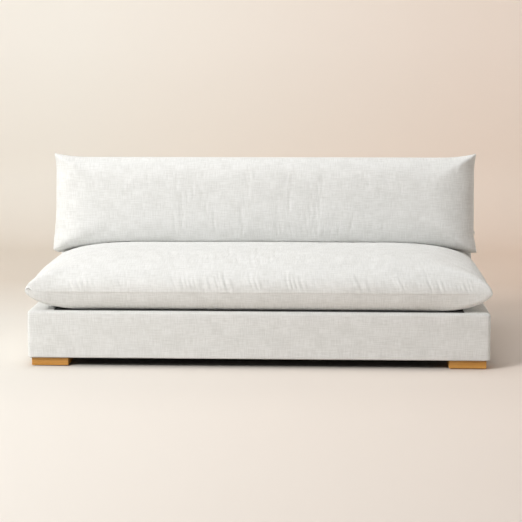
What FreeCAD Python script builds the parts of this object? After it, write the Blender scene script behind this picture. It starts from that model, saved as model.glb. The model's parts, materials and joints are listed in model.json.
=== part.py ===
import FreeCAD, Part

import math
import os
import re

import Sketcher

# Armless sofa: an upholstered base on low block feet, an upholstered low back, one loose
# full-width seat cushion and one loose full-width back cushion.
# Frame: X to the sitter's left and right, front faces -Y, Z up, millimetres.
# The origin is on the floor, under the middle of the whole sofa.

Vector = FreeCAD.Vector
doc = FreeCAD.newDocument("armless_sofa")
sizes = doc.addObject("Spreadsheet::Sheet", "Sizes")
places = doc.addObject("Spreadsheet::Sheet", "Places")
names_in = {}
parts = {}


# Sheets of sizes and places

def size(alias, number, note):
    """One driving size: a plain number with an alias."""
    row = len([name for name in names_in.values() if name == "Sizes"]) + 1
    sizes.set("A%d" % row, note)
    sizes.set("B%d" % row, str(number))
    sizes.setAlias("B%d" % row, alias)
    names_in[alias] = "Sizes"


def place(alias, text):
    """One place worked out from the sizes."""
    row = len([name for name in names_in.values() if name == "Places"]) + 1
    places.set("A%d" % row, "=" + formula(text))
    places.setAlias("A%d" % row, alias)
    names_in[alias] = "Places"


def formula(text):
    """The text with each alias led by its sheet."""
    def with_sheet(match):
        word = match.group(0)
        return names_in[word] + "." + word if word in names_in else word
    return re.sub(r"[a-z_]+[a-z]", with_sheet, str(text))


def value(text):
    """The number that a formula gives."""
    return float(sizes.evalExpression(formula(text)))


def bind(item, **formulas):
    """Ties properties to formulas; x, y and z are the item's place."""
    for name, text in formulas.items():
        path = "Placement.Base." + name if name in ("x", "y", "z") else name
        item.setExpression(path, formula(text))


# Base and back, outside
size("base_width", 1930, "width of the upholstered base")
size("base_depth", 920, "depth of the upholstered base, front to back")
size("base_height", 200, "height of the upholstered base above the feet")
size("base_corner_radius", 20, "upright corners of the base")
size("base_edge_radius", 14, "top edge of the base")
size("back_height", 442, "height of the upholstered back above the deck")
size("back_depth", 135, "thickness of the back where it meets the deck")
size("back_lean", 8, "lean of the back's front face, degrees")
size("back_edge_radius", 14, "edges of the upholstered back")

# Feet
size("pad_thickness", 3, "felt pad under each foot")
size("pad_inset", 9, "felt pad in from the sides of its foot")
size("foot_height", 35, "height of a foot")
size("foot_width", 155, "foot along the front")
size("foot_depth", 110, "foot from front to back")
size("foot_side_inset", 13, "foot in from the side of the base")
size("foot_front_inset", 12, "foot in from the front or rear of the base")
size("foot_edge", 2, "eased edges of a foot")
size("centre_leg_size", 70, "side of the square centre leg")
size("screw_spread", 35, "foot screws each side of the foot's middle")
size("screw_radius", 3, "shank of a foot screw")
size("screw_head_radius", 6, "head of a foot screw")
size("screw_head_height", 4, "head of a foot screw")
size("screw_sink", 14, "depth of the counterbore under a foot")
size("screw_grip", 15, "foot screw's length inside the frame")

# Frame
size("fabric_thickness", 1.5, "cover fabric")
size("border_padding", 8, "padding round the frame")
size("rail_thickness", 25, "every rail and post")
size("rail_height", 150, "outer rails")
size("cross_rail_height", 80, "rails that run front to back under the springs")
size("cross_rail_spacing", 478, "from one cross rail to the next")
size("dust_cover_thickness", 1, "cloth under the base")
size("plate_thickness", 19, "foot plate")
size("plate_length", 120, "foot plate along the front")
size("plate_depth", 100, "foot plate from front to back")
size("corner_block_leg", 60, "leg of a triangular corner block")
size("corner_block_height", 60, "height of a corner block")
size("frame_screw_radius", 2.2, "shank of a frame screw")
size("frame_screw_head", 4.4, "radius of a frame screw's head")
size("frame_screw_length", 58, "whole length of a frame screw")
size("frame_screw_rise", 22, "frame screws from the edges of the rail")
size("bolt_radius", 4, "bolts that hold the back posts")
size("bolt_head_radius", 8, "round head of a back bolt")
size("bolt_head_height", 4, "round head of a back bolt")
size("bolt_spacing", 34, "upper bolt above the lower bolt")
size("nut_radius", 7.5, "across the corners of a nut, halved")
size("nut_thickness", 6.5, "nut")
size("hole_clearance", 0.2, "screw and bolt holes, on the radius")
size("slot_clearance", 1, "slots round the back posts")
size("post_gap", 11.5, "spring rail in front of the back posts")

# Springs and deck
size("spring_wire", 3.8, "diameter of the zigzag spring wire")
size("spring_run", 34, "straight run across one loop")
size("spring_spacing", 148, "from one spring to the next")
size("spring_count", 12, "number of zigzag springs")
size("spring_loops", 22, "half turns in one spring")
size("clip_width", 22, "spring clip along the rail")
size("clip_depth", 14, "spring clip across the rail")
size("clip_height", 7.6, "spring clip above the rail")
size("tie_wire", 2.6, "diameter of a tie wire across the springs")
size("tie_count", 3, "tie wires")
size("tie_spacing", 190, "from one tie wire to the next")
size("touch_gap", 0.1, "between wires that rest on each other")
size("spring_pad_thickness", 5, "felt pad over the springs")
size("deck_foam_thickness", 33, "foam under the deck cloth")
size("edge_roll_width", 8, "roll along the top of the rails")

# Back upholstery
size("back_foam_thickness", 25, "foam on the front of the back, webbing included")
size("webbing_thickness", 1.5, "elastic webbing")
size("webbing_width", 50, "elastic webbing")
size("webbing_spacing", 240, "from one strap to the next")
size("webbing_count", 7, "number of upright straps")
size("webbing_end", 6, "strap's end in from the frame's edge")
size("rear_board_thickness", 3, "board across the rear of the back")
size("bottom_rail_height", 60, "lower rail of the back")

# Seat cushion
size("seat_overhang", 20, "front corner tips beyond the base")
size("seat_width", 1934, "tip to tip")
size("seat_depth", 805, "tip to tip, front to back")
size("seat_seam_height", 84, "edge seam above the deck")
size("seat_crown", 133, "top of the crown above the seam")
size("seat_side_bow", 12, "side seams drawn in between the corners")
size("seat_front_bow", 10, "front and rear seams drawn in between the corners")
size("seat_side_shoulder", 450, "crown's run in from the side seams")
size("seat_front_shoulder", 350, "crown's run in from the front seam")
size("seat_side_roundness", 2, "power of the crown's curve at the sides, blunter as it grows")
size("seat_front_roundness", 2.3, "power of the crown's curve at the front and rear")
size("seat_under_side_run", 110, "underside's run in from the side seams to the deck")
size("seat_under_front_run", 72, "underside's run in from the front and rear seams")
size("seat_under_side_roundness", 1.35, "power of the underside's curve at the sides")
size("seat_under_front_roundness", 1.8, "power of the underside's curve, front and rear")
size("seat_tip_growth", 25, "growth of the tip radius up to the crown, in tip radii")
size("core_side_inset", 116, "foam core in from the tips at the sides")
size("core_front_inset", 92, "foam core in from the tips, front and rear")
size("core_rise", 22, "foam core above the deck")
size("core_thickness", 140, "foam core")
size("core_edge", 24, "rounded edges of the foam core")

# Back cushion
size("cushion_width", 1932, "tip to tip")
size("cushion_height", 450, "bottom tips to top tips, along the lean")
size("cushion_bottom", 395, "height of the bottom tips above the floor")
size("cushion_set_back", 649, "bottom seam behind the front of the base")
size("cushion_front_crown", 110, "front face in front of the seam")
size("cushion_rear_crown", 178, "rear face behind the seam, before it rests on the back")
size("cushion_side_bow", 9, "side seams drawn in between the corners")
size("cushion_top_bow", 17, "top and bottom seams drawn in between the corners")
size("cushion_side_shoulder", 270, "crown's run in from the side seams")
size("cushion_top_shoulder", 175, "crown's run in from the top seam")
size("cushion_front_roundness", 2.6, "power of the front face's curve")
size("cushion_rear_roundness", 2, "power of the rear face's curve")
size("cushion_tip_growth", 5, "growth of the tip radius up to the crown, in tip radii")

# Cushion layers
size("cushion_fabric", 1.5, "cushion cover fabric")
size("casing_thickness", 1, "inner casing of a cushion")
size("layer_gap", 0.9, "between the layers and pieces of soft goods")
size("rest_gap", 0.3, "under the seat cushion")
size("tip_radius", 6, "corner tips of a cushion")
size("tip_limit", 0.6, "largest tip radius, as a part of the half depth there")
size("tip_nose", 0.25, "tip's point in from its corner, in tip radii")
size("long_flare", 0.15, "part of a half width over which a seam flares out to a tip")
size("short_flare", 0.35, "part of a half height over which a seam flares out to a tip")
size("bow_fade", 0.8, "part of a seam's bow that is gone at the crown")

# Zips
size("zip_tape_width", 9.4, "both tapes together")
size("zip_tape_thickness", 0.8, "tape")
size("zip_tape_sink", 1.9, "back of the tape behind the seam")
size("zip_coil_width", 4, "coil")
size("zip_coil_thickness", 2, "coil")
size("zip_slot", 10, "opening of the cover along the zip")
size("zip_slot_depth", 3.5, "opening of the cover behind the seam")
size("zip_gap", 0.3, "running gap of the slider")
size("slider_length", 12, "slider")
size("slider_wall", 1.4, "slider's plate and lips")
size("ear_length", 3, "ears that hold the pull's pin, along the slider")
size("ear_thickness", 1, "each ear, across the slider")
size("ear_height", 3.2, "ears above the slider's plate")
size("pin_radius", 0.6, "pin between the ears")
size("pin_height", 1.9, "middle of the pin above the slider's plate")
size("pin_clearance", 0.05, "running clearance round the pin, on the radius")
size("barrel_radius", 1.2, "barrel of the pull round the pin")
size("barrel_length", 3, "barrel of the pull along the pin")
size("pull_length", 15, "pull tab from the pin to its end")
size("pull_neck", 3, "narrow neck between the barrel and the tab, from the pin")
size("pull_width", 6, "pull tab")
size("pull_thickness", 1.2, "pull tab")
size("stop_length", 3, "stop at each end of a coil")
size("seat_zip_length", 1600, "zip in the seat cushion's rear seam")
size("cushion_zip_length", 280, "zip in the back cushion's side seam")

doc.recompute()

# Levels above the floor
place("base_bottom", "pad_thickness + foot_height")
place("deck_top", "base_bottom + base_height")
place("rail_bottom", "base_bottom + dust_cover_thickness")
place("rail_top", "rail_bottom + rail_height")
place("cross_top", "rail_bottom + cross_rail_height")
place("spring_level", "rail_top + clip_height / 2")
place("deck_foam_bottom", "deck_top - fabric_thickness - deck_foam_thickness")
place("spring_pad_bottom", "deck_foam_bottom - spring_pad_thickness")
place("back_floor", "deck_top + fabric_thickness")
place("back_top", "deck_top + back_height")
place("top_rail_top", "back_top - fabric_thickness - border_padding")
place("top_rail_bottom", "top_rail_top - rail_thickness")
place("bottom_rail_top", "back_floor + bottom_rail_height")

# Across and front to back
place("base_half", "base_width / 2")
place("base_front", "seat_overhang / 2 - base_depth / 2")
place("base_rear", "seat_overhang / 2 + base_depth / 2")
place("build_up", "border_padding + fabric_thickness")
place("frame_half", "base_half - build_up")
place("frame_inside", "frame_half - rail_thickness")
place("frame_front", "base_front + build_up")
place("frame_rear", "base_rear - build_up")
place("rail_inner_front", "frame_front + rail_thickness")
place("rail_inner_rear", "frame_rear - rail_thickness")
place("cover_half", "base_half - fabric_thickness")
place("cover_front", "base_front + fabric_thickness")
place("cover_rear", "base_rear - fabric_thickness")

# The back's front face leans: its place at the deck and its slope
place("lean_slope", "tan(back_lean * 1deg)")
place("lean_skin", "fabric_thickness / cos(back_lean * 1deg)")
place("back_front", "base_rear - back_depth")
place("plane_front", "back_front + fabric_thickness + back_foam_thickness")
place("post_front", "plane_front + rail_thickness")
place("spring_rail_rear", "post_front - post_gap")
place("spring_rail_front", "spring_rail_rear - rail_thickness")

# Feet and their screws
place("foot_outer", "base_half - foot_side_inset")
place("foot_middle", "foot_outer - foot_width / 2")
place("foot_front_middle", "base_front + foot_front_inset + foot_depth / 2")
place("foot_rear_middle", "base_rear - foot_front_inset - foot_depth / 2")
place("leg_middle", "(base_front + base_rear) / 2")

# Back bolts and spring ends
place("bolt_low", "(cross_top + rail_top - bolt_spacing) / 2")
place("bolt_high", "bolt_low + bolt_spacing")
place("clip_front", "rail_inner_front - clip_depth / 2 - fabric_thickness")
place("clip_rear", "spring_rail_front + clip_depth / 2 + fabric_thickness")
place("wire_radius", "spring_wire / 2")
place("tie_radius", "tie_wire / 2")
place("tie_level", "spring_level + wire_radius + touch_gap + tie_radius")

# Cushions
place("seat_middle", "base_front - seat_overhang + seat_depth / 2")
place("seat_floor", "deck_top + rest_gap")
place("seat_seam", "deck_top + seat_seam_height")
place("cushion_foot", "base_front + cushion_set_back")
place("cushion_rear", "back_front - layer_gap / cos(back_lean * 1deg)")

doc.recompute()


# Building blocks

def keep(name, item):
    """Takes a finished item as the sub-part of this name."""
    item.Label = name
    parts[name] = item
    return item


def box(name, x, y, z, length, width, height):
    """Box from its low corner; every argument is a formula."""
    item = doc.addObject("Part::Box", name)
    bind(item, x=x, y=y, z=z, Length=length, Width=width, Height=height)
    return item


def rod(name, axis, x, y, z, radius, length):
    """Cylinder that runs from its place along one axis."""
    turns = {"x": (Vector(0, 1, 0), 90), "y": (Vector(1, 0, 0), -90), "z": (Vector(0, 0, 1), 0)}
    item = doc.addObject("Part::Cylinder", name)
    item.Placement = FreeCAD.Placement(Vector(), FreeCAD.Rotation(*turns[axis]))
    bind(item, x=x, y=y, z=z, Radius=radius, Height=length)
    return item


def group(name, members):
    """Several solids under one name."""
    item = doc.addObject("Part::Compound", name)
    item.Links = members
    return item


def cut(name, base, tools):
    """The base without its tools."""
    item = doc.addObject("Part::Cut", name)
    item.Base = base
    item.Tool = tools[0] if len(tools) == 1 else group(name + "_tools", tools)
    return item


def fuse(name, members):
    """Members joined into one solid."""
    item = doc.addObject("Part::MultiFuse", name)
    item.Shapes = members
    return item


def common(name, first, second):
    """What two items share."""
    item = doc.addObject("Part::Common", name)
    item.Base = first
    item.Tool = second
    return item


def sketch_outline(body, name, role, points):
    """Closed outline on one of the body's own planes, each corner tied to two formulas."""
    sketch = body.newObject("Sketcher::SketchObject", name)
    plane = [item for item in body.Origin.OriginFeatures if item.Role == role][0]
    sketch.AttachmentSupport = [(plane, "")]
    sketch.MapMode = "FlatFace"
    corners = [Vector(value(across), value(up), 0) for across, up in points]
    count = len(corners)
    for index in range(count):
        sketch.addGeometry(Part.LineSegment(corners[index], corners[(index + 1) % count]), False)
    for index in range(count):
        joint = Sketcher.Constraint("Coincident", index, 2, (index + 1) % count, 1)
        sketch.addConstraint(joint)
    for index, point in enumerate(points):
        for kind, text in zip(("DistanceX", "DistanceY"), point):
            tie = Sketcher.Constraint(kind, -1, 1, index, 1, value(text))
            number = sketch.addConstraint(tie)
            sketch.setExpression("Constraints[%d]" % number, formula(text))
    return sketch


def prism(name, points, x, length):
    """Body with an outline in Y and Z, padded along X from its place."""
    body = doc.addObject("PartDesign::Body", name)
    sketch = sketch_outline(body, name + "_outline", "YZ_Plane", points)
    pad = body.newObject("PartDesign::Pad", name + "_pad")
    pad.Profile = sketch
    bind(pad, Length=length)
    bind(body, x=x)
    doc.recompute()
    return body


def slab(name, points, z, height):
    """Body with an outline in X and Y, padded upward from its place."""
    body = doc.addObject("PartDesign::Body", name)
    sketch = sketch_outline(body, name + "_outline", "XY_Plane", points)
    pad = body.newObject("PartDesign::Pad", name + "_pad")
    pad.Profile = sketch
    bind(pad, Length=height)
    bind(body, z=z)
    doc.recompute()
    return body


def rectangle(x_low, x_high, y_low, y_high):
    """Corner formulas of a rectangle."""
    return [(x_low, y_low), (x_high, y_low), (x_high, y_high), (x_low, y_high)]


def round_edges(body, name, radius, chosen, kind="PartDesign::Fillet"):
    """Fillet or chamfer on the edges that the test chooses."""
    base = body.Tip
    picked = ["Edge%d" % (number + 1) for number, edge in enumerate(base.Shape.Edges) if chosen(edge)]
    item = body.newObject(kind, name)
    item.Base = (base, picked)
    bind(item, **{"Radius" if kind.endswith("Fillet") else "Size": radius})
    doc.recompute()
    return item


def upright(edge):
    """Edge that runs along Z."""
    start, end = edge.Vertexes[0].Point, edge.Vertexes[-1].Point
    return abs(start.x - end.x) + abs(start.y - end.y) < 0.001


def sides():
    """Left and right, with the sign of X."""
    return (("left", -1), ("right", 1))


# Base frame

def mirrored_box(name, sign, x_inner, y, z, length, width, height):
    """Box beyond x_inner on the side that the sign names."""
    x = x_inner if sign > 0 else "-(%s) - (%s)" % (x_inner, length)
    return box(name, x, y, z, length, width, height)


def cross_rail_places():
    """Middle of each cross rail in X."""
    return (("left", "-cross_rail_spacing"), ("centre", "0"), ("right", "cross_rail_spacing"))


def frame_screw_spots():
    """Each frame screw: name, X, Z and whether it goes in from the front or the rear."""
    spots = []
    for side, sign in sides():
        x = "%d * (frame_half - rail_thickness / 2)" % sign
        for row, z in (("low", "rail_bottom + frame_screw_rise"), ("high", "rail_top - frame_screw_rise")):
            spots.append((side + "_end_" + row, x, z))
    for side, x in cross_rail_places():
        spots.append((side + "_cross_low", x, "rail_bottom + frame_screw_rise"))
        spots.append((side + "_cross_high", x, "cross_top - frame_screw_rise"))
    return [(end + "_" + name, x, z, end) for name, x, z in spots for end in ("front", "rear")]


def frame_screw(label, x, z, end, clearance):
    """Countersunk screw through a front or rear rail into the end of the rail behind it."""
    sign = 1 if end == "front" else -1
    face = "frame_front" if end == "front" else "frame_rear"
    head = doc.addObject("Part::Cone", label + "_head")
    head.Placement = FreeCAD.Placement(Vector(), FreeCAD.Rotation(Vector(1, 0, 0), -90 * sign))
    bind(head, x=x, y=face, z=z, Height="frame_screw_head - frame_screw_radius",
         Radius1="frame_screw_head + %s" % clearance, Radius2="frame_screw_radius + %s" % clearance)
    shank = doc.addObject("Part::Cylinder", label + "_shank")
    shank.Placement = head.Placement
    bind(shank, x=x, y=face, z=z, Radius="frame_screw_radius + %s" % clearance,
         Height="frame_screw_length + %s" % clearance)
    return fuse(label, [head, shank])


def screw_holes(name, chosen):
    """Hole cutters for the frame screws that the test chooses."""
    return [frame_screw(name + "_" + label, x, z, end, "hole_clearance")
            for label, x, z, end in frame_screw_spots() if chosen(label)]


def bolt_spots():
    """Each back bolt: name, X and Z."""
    posts = (("left", "-(frame_inside - rail_thickness / 2)"), ("centre", "0"),
             ("right", "frame_inside - rail_thickness / 2"))
    return [(side + "_" + row, side, x, z) for side, x in posts
            for row, z in (("low", "bolt_low"), ("high", "bolt_high"))]


def bolt_hole(name, x, z, radius, y, length):
    """Cutter along Y."""
    return rod(name, "y", x, y, z, radius, length)


def make_rails():
    """Outer rails, cross rails and the rail that the springs' rear ends hold."""
    front = box("front_rail_blank", "-frame_half", "frame_front", "rail_bottom",
                "2 * frame_half", "rail_thickness", "rail_height")
    keep("front_rail", cut("front_rail", front, screw_holes("front_rail", lambda s: s.startswith("front"))))
    rear = box("rear_rail_blank", "-frame_half", "rail_inner_rear", "rail_bottom",
               "2 * frame_half", "rail_thickness", "rail_height")
    holes = screw_holes("rear_rail", lambda s: s.startswith("rear"))
    for label, side, x, z in bolt_spots():
        name = "rear_rail_bolt_" + label
        holes.append(bolt_hole(name, x, z, "bolt_radius + hole_clearance", "rail_inner_rear",
                               "rail_thickness"))
        holes.append(bolt_hole(name + "_head", x, z, "bolt_head_radius + hole_clearance",
                               "frame_rear - bolt_head_height", "bolt_head_height"))
    keep("rear_rail", cut("rear_rail", rear, holes))
    for side, sign in sides():
        name = side + "_end_rail"
        blank = mirrored_box(name + "_blank", sign, "frame_inside", "rail_inner_front", "rail_bottom",
                             "rail_thickness", "rail_inner_rear - rail_inner_front", "rail_height")
        keep(name, cut(name, blank, screw_holes(name, lambda s: side + "_end" in s)))
    for side, x in cross_rail_places():
        name = side + "_cross_rail"
        blank = box(name + "_blank", "%s - rail_thickness / 2" % x, "rail_inner_front", "rail_bottom",
                    "rail_thickness", "rail_inner_rear - rail_inner_front", "cross_rail_height")
        holes = screw_holes(name, lambda s: side + "_cross" in s)
        if side == "centre":
            holes += leg_screws(name + "_leg_hole", "hole_clearance")
        keep(name, cut(name, blank, holes))
    keep("seat_rear_rail", box("seat_rear_rail", "-frame_inside", "spring_rail_front", "cross_top",
                               "2 * frame_inside", "rail_thickness", "rail_top - cross_top"))
    screws = [frame_screw("screw_" + label, x, z, end, "0") for label, x, z, end in frame_screw_spots()]
    keep("frame_screws", group("frame_screws", screws))


def make_corners():
    """Foot plates flat in the four corners, with a triangular block standing on each."""
    plates = []
    blocks = []
    for side, sign in sides():
        for end in ("front", "rear"):
            label = end + "_" + side
            y = "rail_inner_front" if end == "front" else "rail_inner_rear - plate_depth"
            plate = mirrored_box("plate_blank_" + label, sign, "frame_inside - plate_length", y,
                                 "rail_bottom", "plate_length", "plate_depth", "plate_thickness")
            holes = foot_screws("plate_hole_" + label, sign, end, "hole_clearance")
            plates.append(cut("plate_" + label, plate, holes))
            inner = "rail_inner_front" if end == "front" else "rail_inner_rear"
            step = "+" if end == "front" else "-"
            corner = "%d * frame_inside" % sign
            points = [(corner, inner), ("%d * (frame_inside - corner_block_leg)" % sign, inner),
                      (corner, "%s %s corner_block_leg" % (inner, step))]
            blocks.append(slab("block_" + label, points, "rail_bottom + plate_thickness",
                               "corner_block_height"))
    keep("foot_plates", group("foot_plates", plates))
    keep("corner_blocks", group("corner_blocks", blocks))


# Feet

def sunk_screw(label, x, y, clearance):
    """Screw that goes up into the frame, its head inside the foot's counterbore."""
    seat = "pad_thickness + screw_sink"
    shank = rod(label + "_shank", "z", x, y, seat, "screw_radius + %s" % clearance,
                "rail_bottom + screw_grip - (%s) + %s" % (seat, clearance))
    head = rod(label + "_head", "z", x, y, seat + " - screw_head_height",
               "screw_head_radius + %s" % clearance, "screw_head_height")
    return fuse(label, [shank, head])


def foot_screws(name, sign, end, clearance):
    """The two screws of one corner foot."""
    y = "foot_%s_middle" % end
    spread = (("inner", "foot_middle - screw_spread"), ("outer", "foot_middle + screw_spread"))
    return [sunk_screw(name + "_" + label, "%d * (%s)" % (sign, x), y, clearance) for label, x in spread]


def leg_screws(name, clearance):
    """The two screws of the centre leg, in line under the centre cross rail."""
    spread = (("front", "leg_middle - screw_spread / 2"), ("rear", "leg_middle + screw_spread / 2"))
    return [sunk_screw(name + "_" + label, "0", y, clearance) for label, y in spread]


def foot_block(name, x_low, x_high, y_low, y_high, screws):
    """Block with eased edges and counterbored screw holes."""
    body = slab(name + "_block", rectangle(x_low, x_high, y_low, y_high), "pad_thickness", "foot_height")
    round_edges(body, name + "_eased", "foot_edge", lambda edge: edge.BoundBox.ZMin < 0.001,
                "PartDesign::Chamfer")
    tools = []
    for screw in screws:
        tools.append(screw)
    for number, screw in enumerate(screws):
        head = screw.Shapes[1]
        sink = rod("%s_sink_%d" % (name, number), "z", "0", "0", "pad_thickness",
                   "screw_head_radius + 1.5 * hole_clearance", "screw_sink")
        for axis in ("x", "y"):
            sink.setExpression("Placement.Base." + axis, "%s.Placement.Base.%s" % (head.Name, axis))
        tools.append(sink)
    return keep(name, cut(name, body, tools))


def pad_under(name, x_low, x_high, y_low, y_high):
    """Felt pad, in from the edges of its foot."""
    return box(name, "%s + pad_inset" % x_low, "%s + pad_inset" % y_low, "0",
               "(%s) - (%s) - 2 * pad_inset" % (x_high, x_low),
               "(%s) - (%s) - 2 * pad_inset" % (y_high, y_low), "pad_thickness")


def make_feet():
    """Four corner feet, the centre leg, their felt pads and their screws."""
    pads = []
    screws = []
    for end in ("front", "rear"):
        for side, sign in sides():
            name = "foot_%s_%s" % (end, side)
            x_low = "foot_outer - foot_width" if sign > 0 else "-foot_outer"
            x_high = "foot_outer" if sign > 0 else "foot_width - foot_outer"
            y_low = "foot_%s_middle - foot_depth / 2" % end
            y_high = "foot_%s_middle + foot_depth / 2" % end
            foot_block(name, x_low, x_high, y_low, y_high,
                       foot_screws(name + "_hole", sign, end, "hole_clearance"))
            pads.append(pad_under("pad_" + name, x_low, x_high, y_low, y_high))
            screws += foot_screws("screw_" + name, sign, end, "0")
    half = "centre_leg_size / 2"
    reach = ("-" + half, half, "leg_middle - " + half, "leg_middle + " + half)
    foot_block("centre_leg", *reach, leg_screws("centre_leg_hole", "hole_clearance"))
    pads.append(pad_under("pad_centre_leg", *reach))
    screws += leg_screws("screw_centre_leg", "0")
    keep("foot_pads", group("foot_pads", pads))
    keep("foot_screws", group("foot_screws", screws))


# Springs

def spring_places():
    """X of each spring's middle, in millimetres."""
    count = int(value("spring_count"))
    return ["%s * spring_spacing" % (index - (count - 1) / 2) for index in range(count)]


def zigzag_wire():
    """One spring along Y from the origin: straight runs across, joined by half turns."""
    turns = int(value("spring_loops"))
    turn = (value("clip_rear") - value("clip_front")) / turns / 2
    run = value("spring_run") / 2
    edges = []
    side = 1
    for index in range(turns):
        y = 2 * turn * index
        edges.append(Part.makeLine(Vector(-side * run, y, 0), Vector(side * run, y, 0)))
        middle = Vector(side * (run + turn), y + turn, 0)
        end = Vector(side * run, y + 2 * turn, 0)
        edges.append(Part.Arc(Vector(side * run, y, 0), middle, end).toShape())
        side = -side
    y = 2 * turn * turns
    edges.append(Part.makeLine(Vector(-side * run, y, 0), Vector(side * run, y, 0)))
    start = Part.makeCircle(value("wire_radius"), Vector(-run, 0, 0), Vector(1, 0, 0))
    return Part.Wire(edges).makePipeShell([Part.Wire(start)], True, False)


def make_springs():
    """Zigzag springs front to back, the clips that hold their ends and the wires across them."""
    wire = doc.addObject("Part::Feature", "spring_wire_shape")
    wire.Shape = zigzag_wire()
    springs = []
    clips = []
    for number, x in enumerate(spring_places()):
        copy = doc.addObject("Part::Feature", "spring_%d" % number)
        copy.Shape = wire.Shape
        bind(copy, x=x, y="clip_front", z="spring_level")
        springs.append(copy)
        for end in ("front", "rear"):
            name = "clip_%s_%d" % (end, number)
            block = box(name + "_block", "%s - clip_width / 2" % x, "clip_%s - clip_depth / 2" % end,
                        "rail_top", "clip_width", "clip_depth", "clip_height")
            bore = rod(name + "_bore", "x", "%s - clip_width / 2" % x, "clip_" + end, "spring_level",
                       "wire_radius + touch_gap", "clip_width")
            clips.append(cut(name, block, [bore]))
    keep("seat_springs", group("seat_springs", springs))
    keep("spring_clips", group("spring_clips", clips))
    reach = "(spring_count - 1) / 2 * spring_spacing + spring_run"
    count = int(value("tie_count"))
    ties = [rod("tie_%d" % number, "x", "-(%s)" % reach,
                "(clip_front + clip_rear) / 2 + %s * tie_spacing" % (number - (count - 1) / 2), "tie_level",
                "tie_radius", "2 * (%s)" % reach) for number in range(count)]
    keep("spring_ties", group("spring_ties", ties))


# Base upholstery

def post_slots(name, bottom, height):
    """Cutters that leave room round the three back posts."""
    slots = []
    for side, x in (("left", "-(frame_inside - rail_thickness / 2)"), ("centre", "0"),
                    ("right", "frame_inside - rail_thickness / 2")):
        slots.append(box("%s_slot_%s" % (name, side), "%s - rail_thickness / 2 - slot_clearance" % x,
                         "post_front - slot_clearance", bottom, "rail_thickness + 2 * slot_clearance",
                         "rail_inner_rear - post_front + 2 * slot_clearance", height))
    return slots


def rounded_block(name, half, front, rear, bottom, height, corner, edge):
    """Block with rounded upright corners and, where the edge is given, a rounded top edge."""
    body = slab(name, rectangle("-" + half, half, front, rear), bottom, height)
    round_edges(body, name + "_corners", corner, upright)
    if edge:
        top = value(height)
        round_edges(body, name + "_top_edge", edge, lambda item: item.BoundBox.ZMin > top - 0.001)
    return body


def make_base_upholstery():
    """Cover, deck foam, felt pad, padding round the rails, roll on top of them and dust cover."""
    inner_corner = "base_corner_radius - fabric_thickness"
    outer = rounded_block("base_cover_outer", "base_half", "base_front", "base_rear", "base_bottom",
                          "base_height", "base_corner_radius", "base_edge_radius")
    inner = rounded_block("base_cover_inner", "cover_half", "cover_front", "cover_rear", "base_bottom",
                          "base_height - fabric_thickness", inner_corner,
                          "base_edge_radius - fabric_thickness")
    slots = post_slots("base_cover", "deck_foam_bottom", "deck_foam_thickness + 2 * fabric_thickness")
    keep("base_cover", cut("base_cover", outer, [inner] + slots))
    foam = rounded_block("deck_foam_block", "cover_half", "cover_front", "cover_rear",
                         "deck_foam_bottom", "deck_foam_thickness", inner_corner,
                         "base_edge_radius - fabric_thickness")
    slots = post_slots("deck_foam", "deck_foam_bottom", "deck_foam_thickness")
    keep("deck_foam", cut("deck_foam", foam, slots))
    pad = box("spring_pad_block", "-frame_half", "frame_front", "spring_pad_bottom",
              "2 * frame_half", "frame_rear - frame_front", "spring_pad_thickness")
    keep("spring_pad", cut("spring_pad", pad, post_slots("spring_pad", "spring_pad_bottom",
                                                         "spring_pad_thickness")))
    ring = rounded_block("border_ring", "cover_half", "cover_front", "cover_rear", "rail_bottom",
                         "deck_foam_bottom - rail_bottom", inner_corner, None)
    hollow = box("border_hollow", "-frame_half", "frame_front", "rail_bottom", "2 * frame_half",
                 "frame_rear - frame_front", "deck_foam_bottom - rail_bottom")
    keep("border_padding", cut("border_padding", ring, [hollow]))
    roll = box("edge_roll_block", "-frame_half", "frame_front", "rail_top", "2 * frame_half",
               "frame_rear - frame_front", "spring_pad_bottom - rail_top")
    core = box("edge_roll_hollow", "edge_roll_width - frame_half", "frame_front + edge_roll_width",
               "rail_top", "2 * (frame_half - edge_roll_width)",
               "frame_rear - frame_front - 2 * edge_roll_width", "spring_pad_bottom - rail_top")
    keep("edge_roll", cut("edge_roll", roll, [core]))
    cloth = rounded_block("dust_cover_block", "cover_half", "cover_front", "cover_rear", "base_bottom",
                          "dust_cover_thickness", inner_corner, None)
    holes = leg_screws("dust_hole_leg", "hole_clearance")
    for side, sign in sides():
        for end in ("front", "rear"):
            holes += foot_screws("dust_hole_%s_%s" % (end, side), sign, end, "hole_clearance")
    keep("dust_cover", cut("dust_cover", cloth, holes))


# Back frame

def plane_at(level, shift="0"):
    """Y of the back frame's front plane at a level."""
    return "plane_front + (%s - deck_top) * lean_slope + %s" % (level, shift)


def post_outline():
    """Post: below the deck it stands between its rail and the bolts, above it fills the wedge."""
    return [("post_front", "cross_top"), ("rail_inner_rear", "cross_top"),
            ("rail_inner_rear", "back_floor"), ("frame_rear", "back_floor"),
            ("frame_rear", "top_rail_bottom"), (plane_at("top_rail_bottom", "webbing_thickness"),
                                                "top_rail_bottom"),
            (plane_at("bottom_rail_top", "webbing_thickness"), "bottom_rail_top"),
            ("post_front", "bottom_rail_top")]


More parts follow.
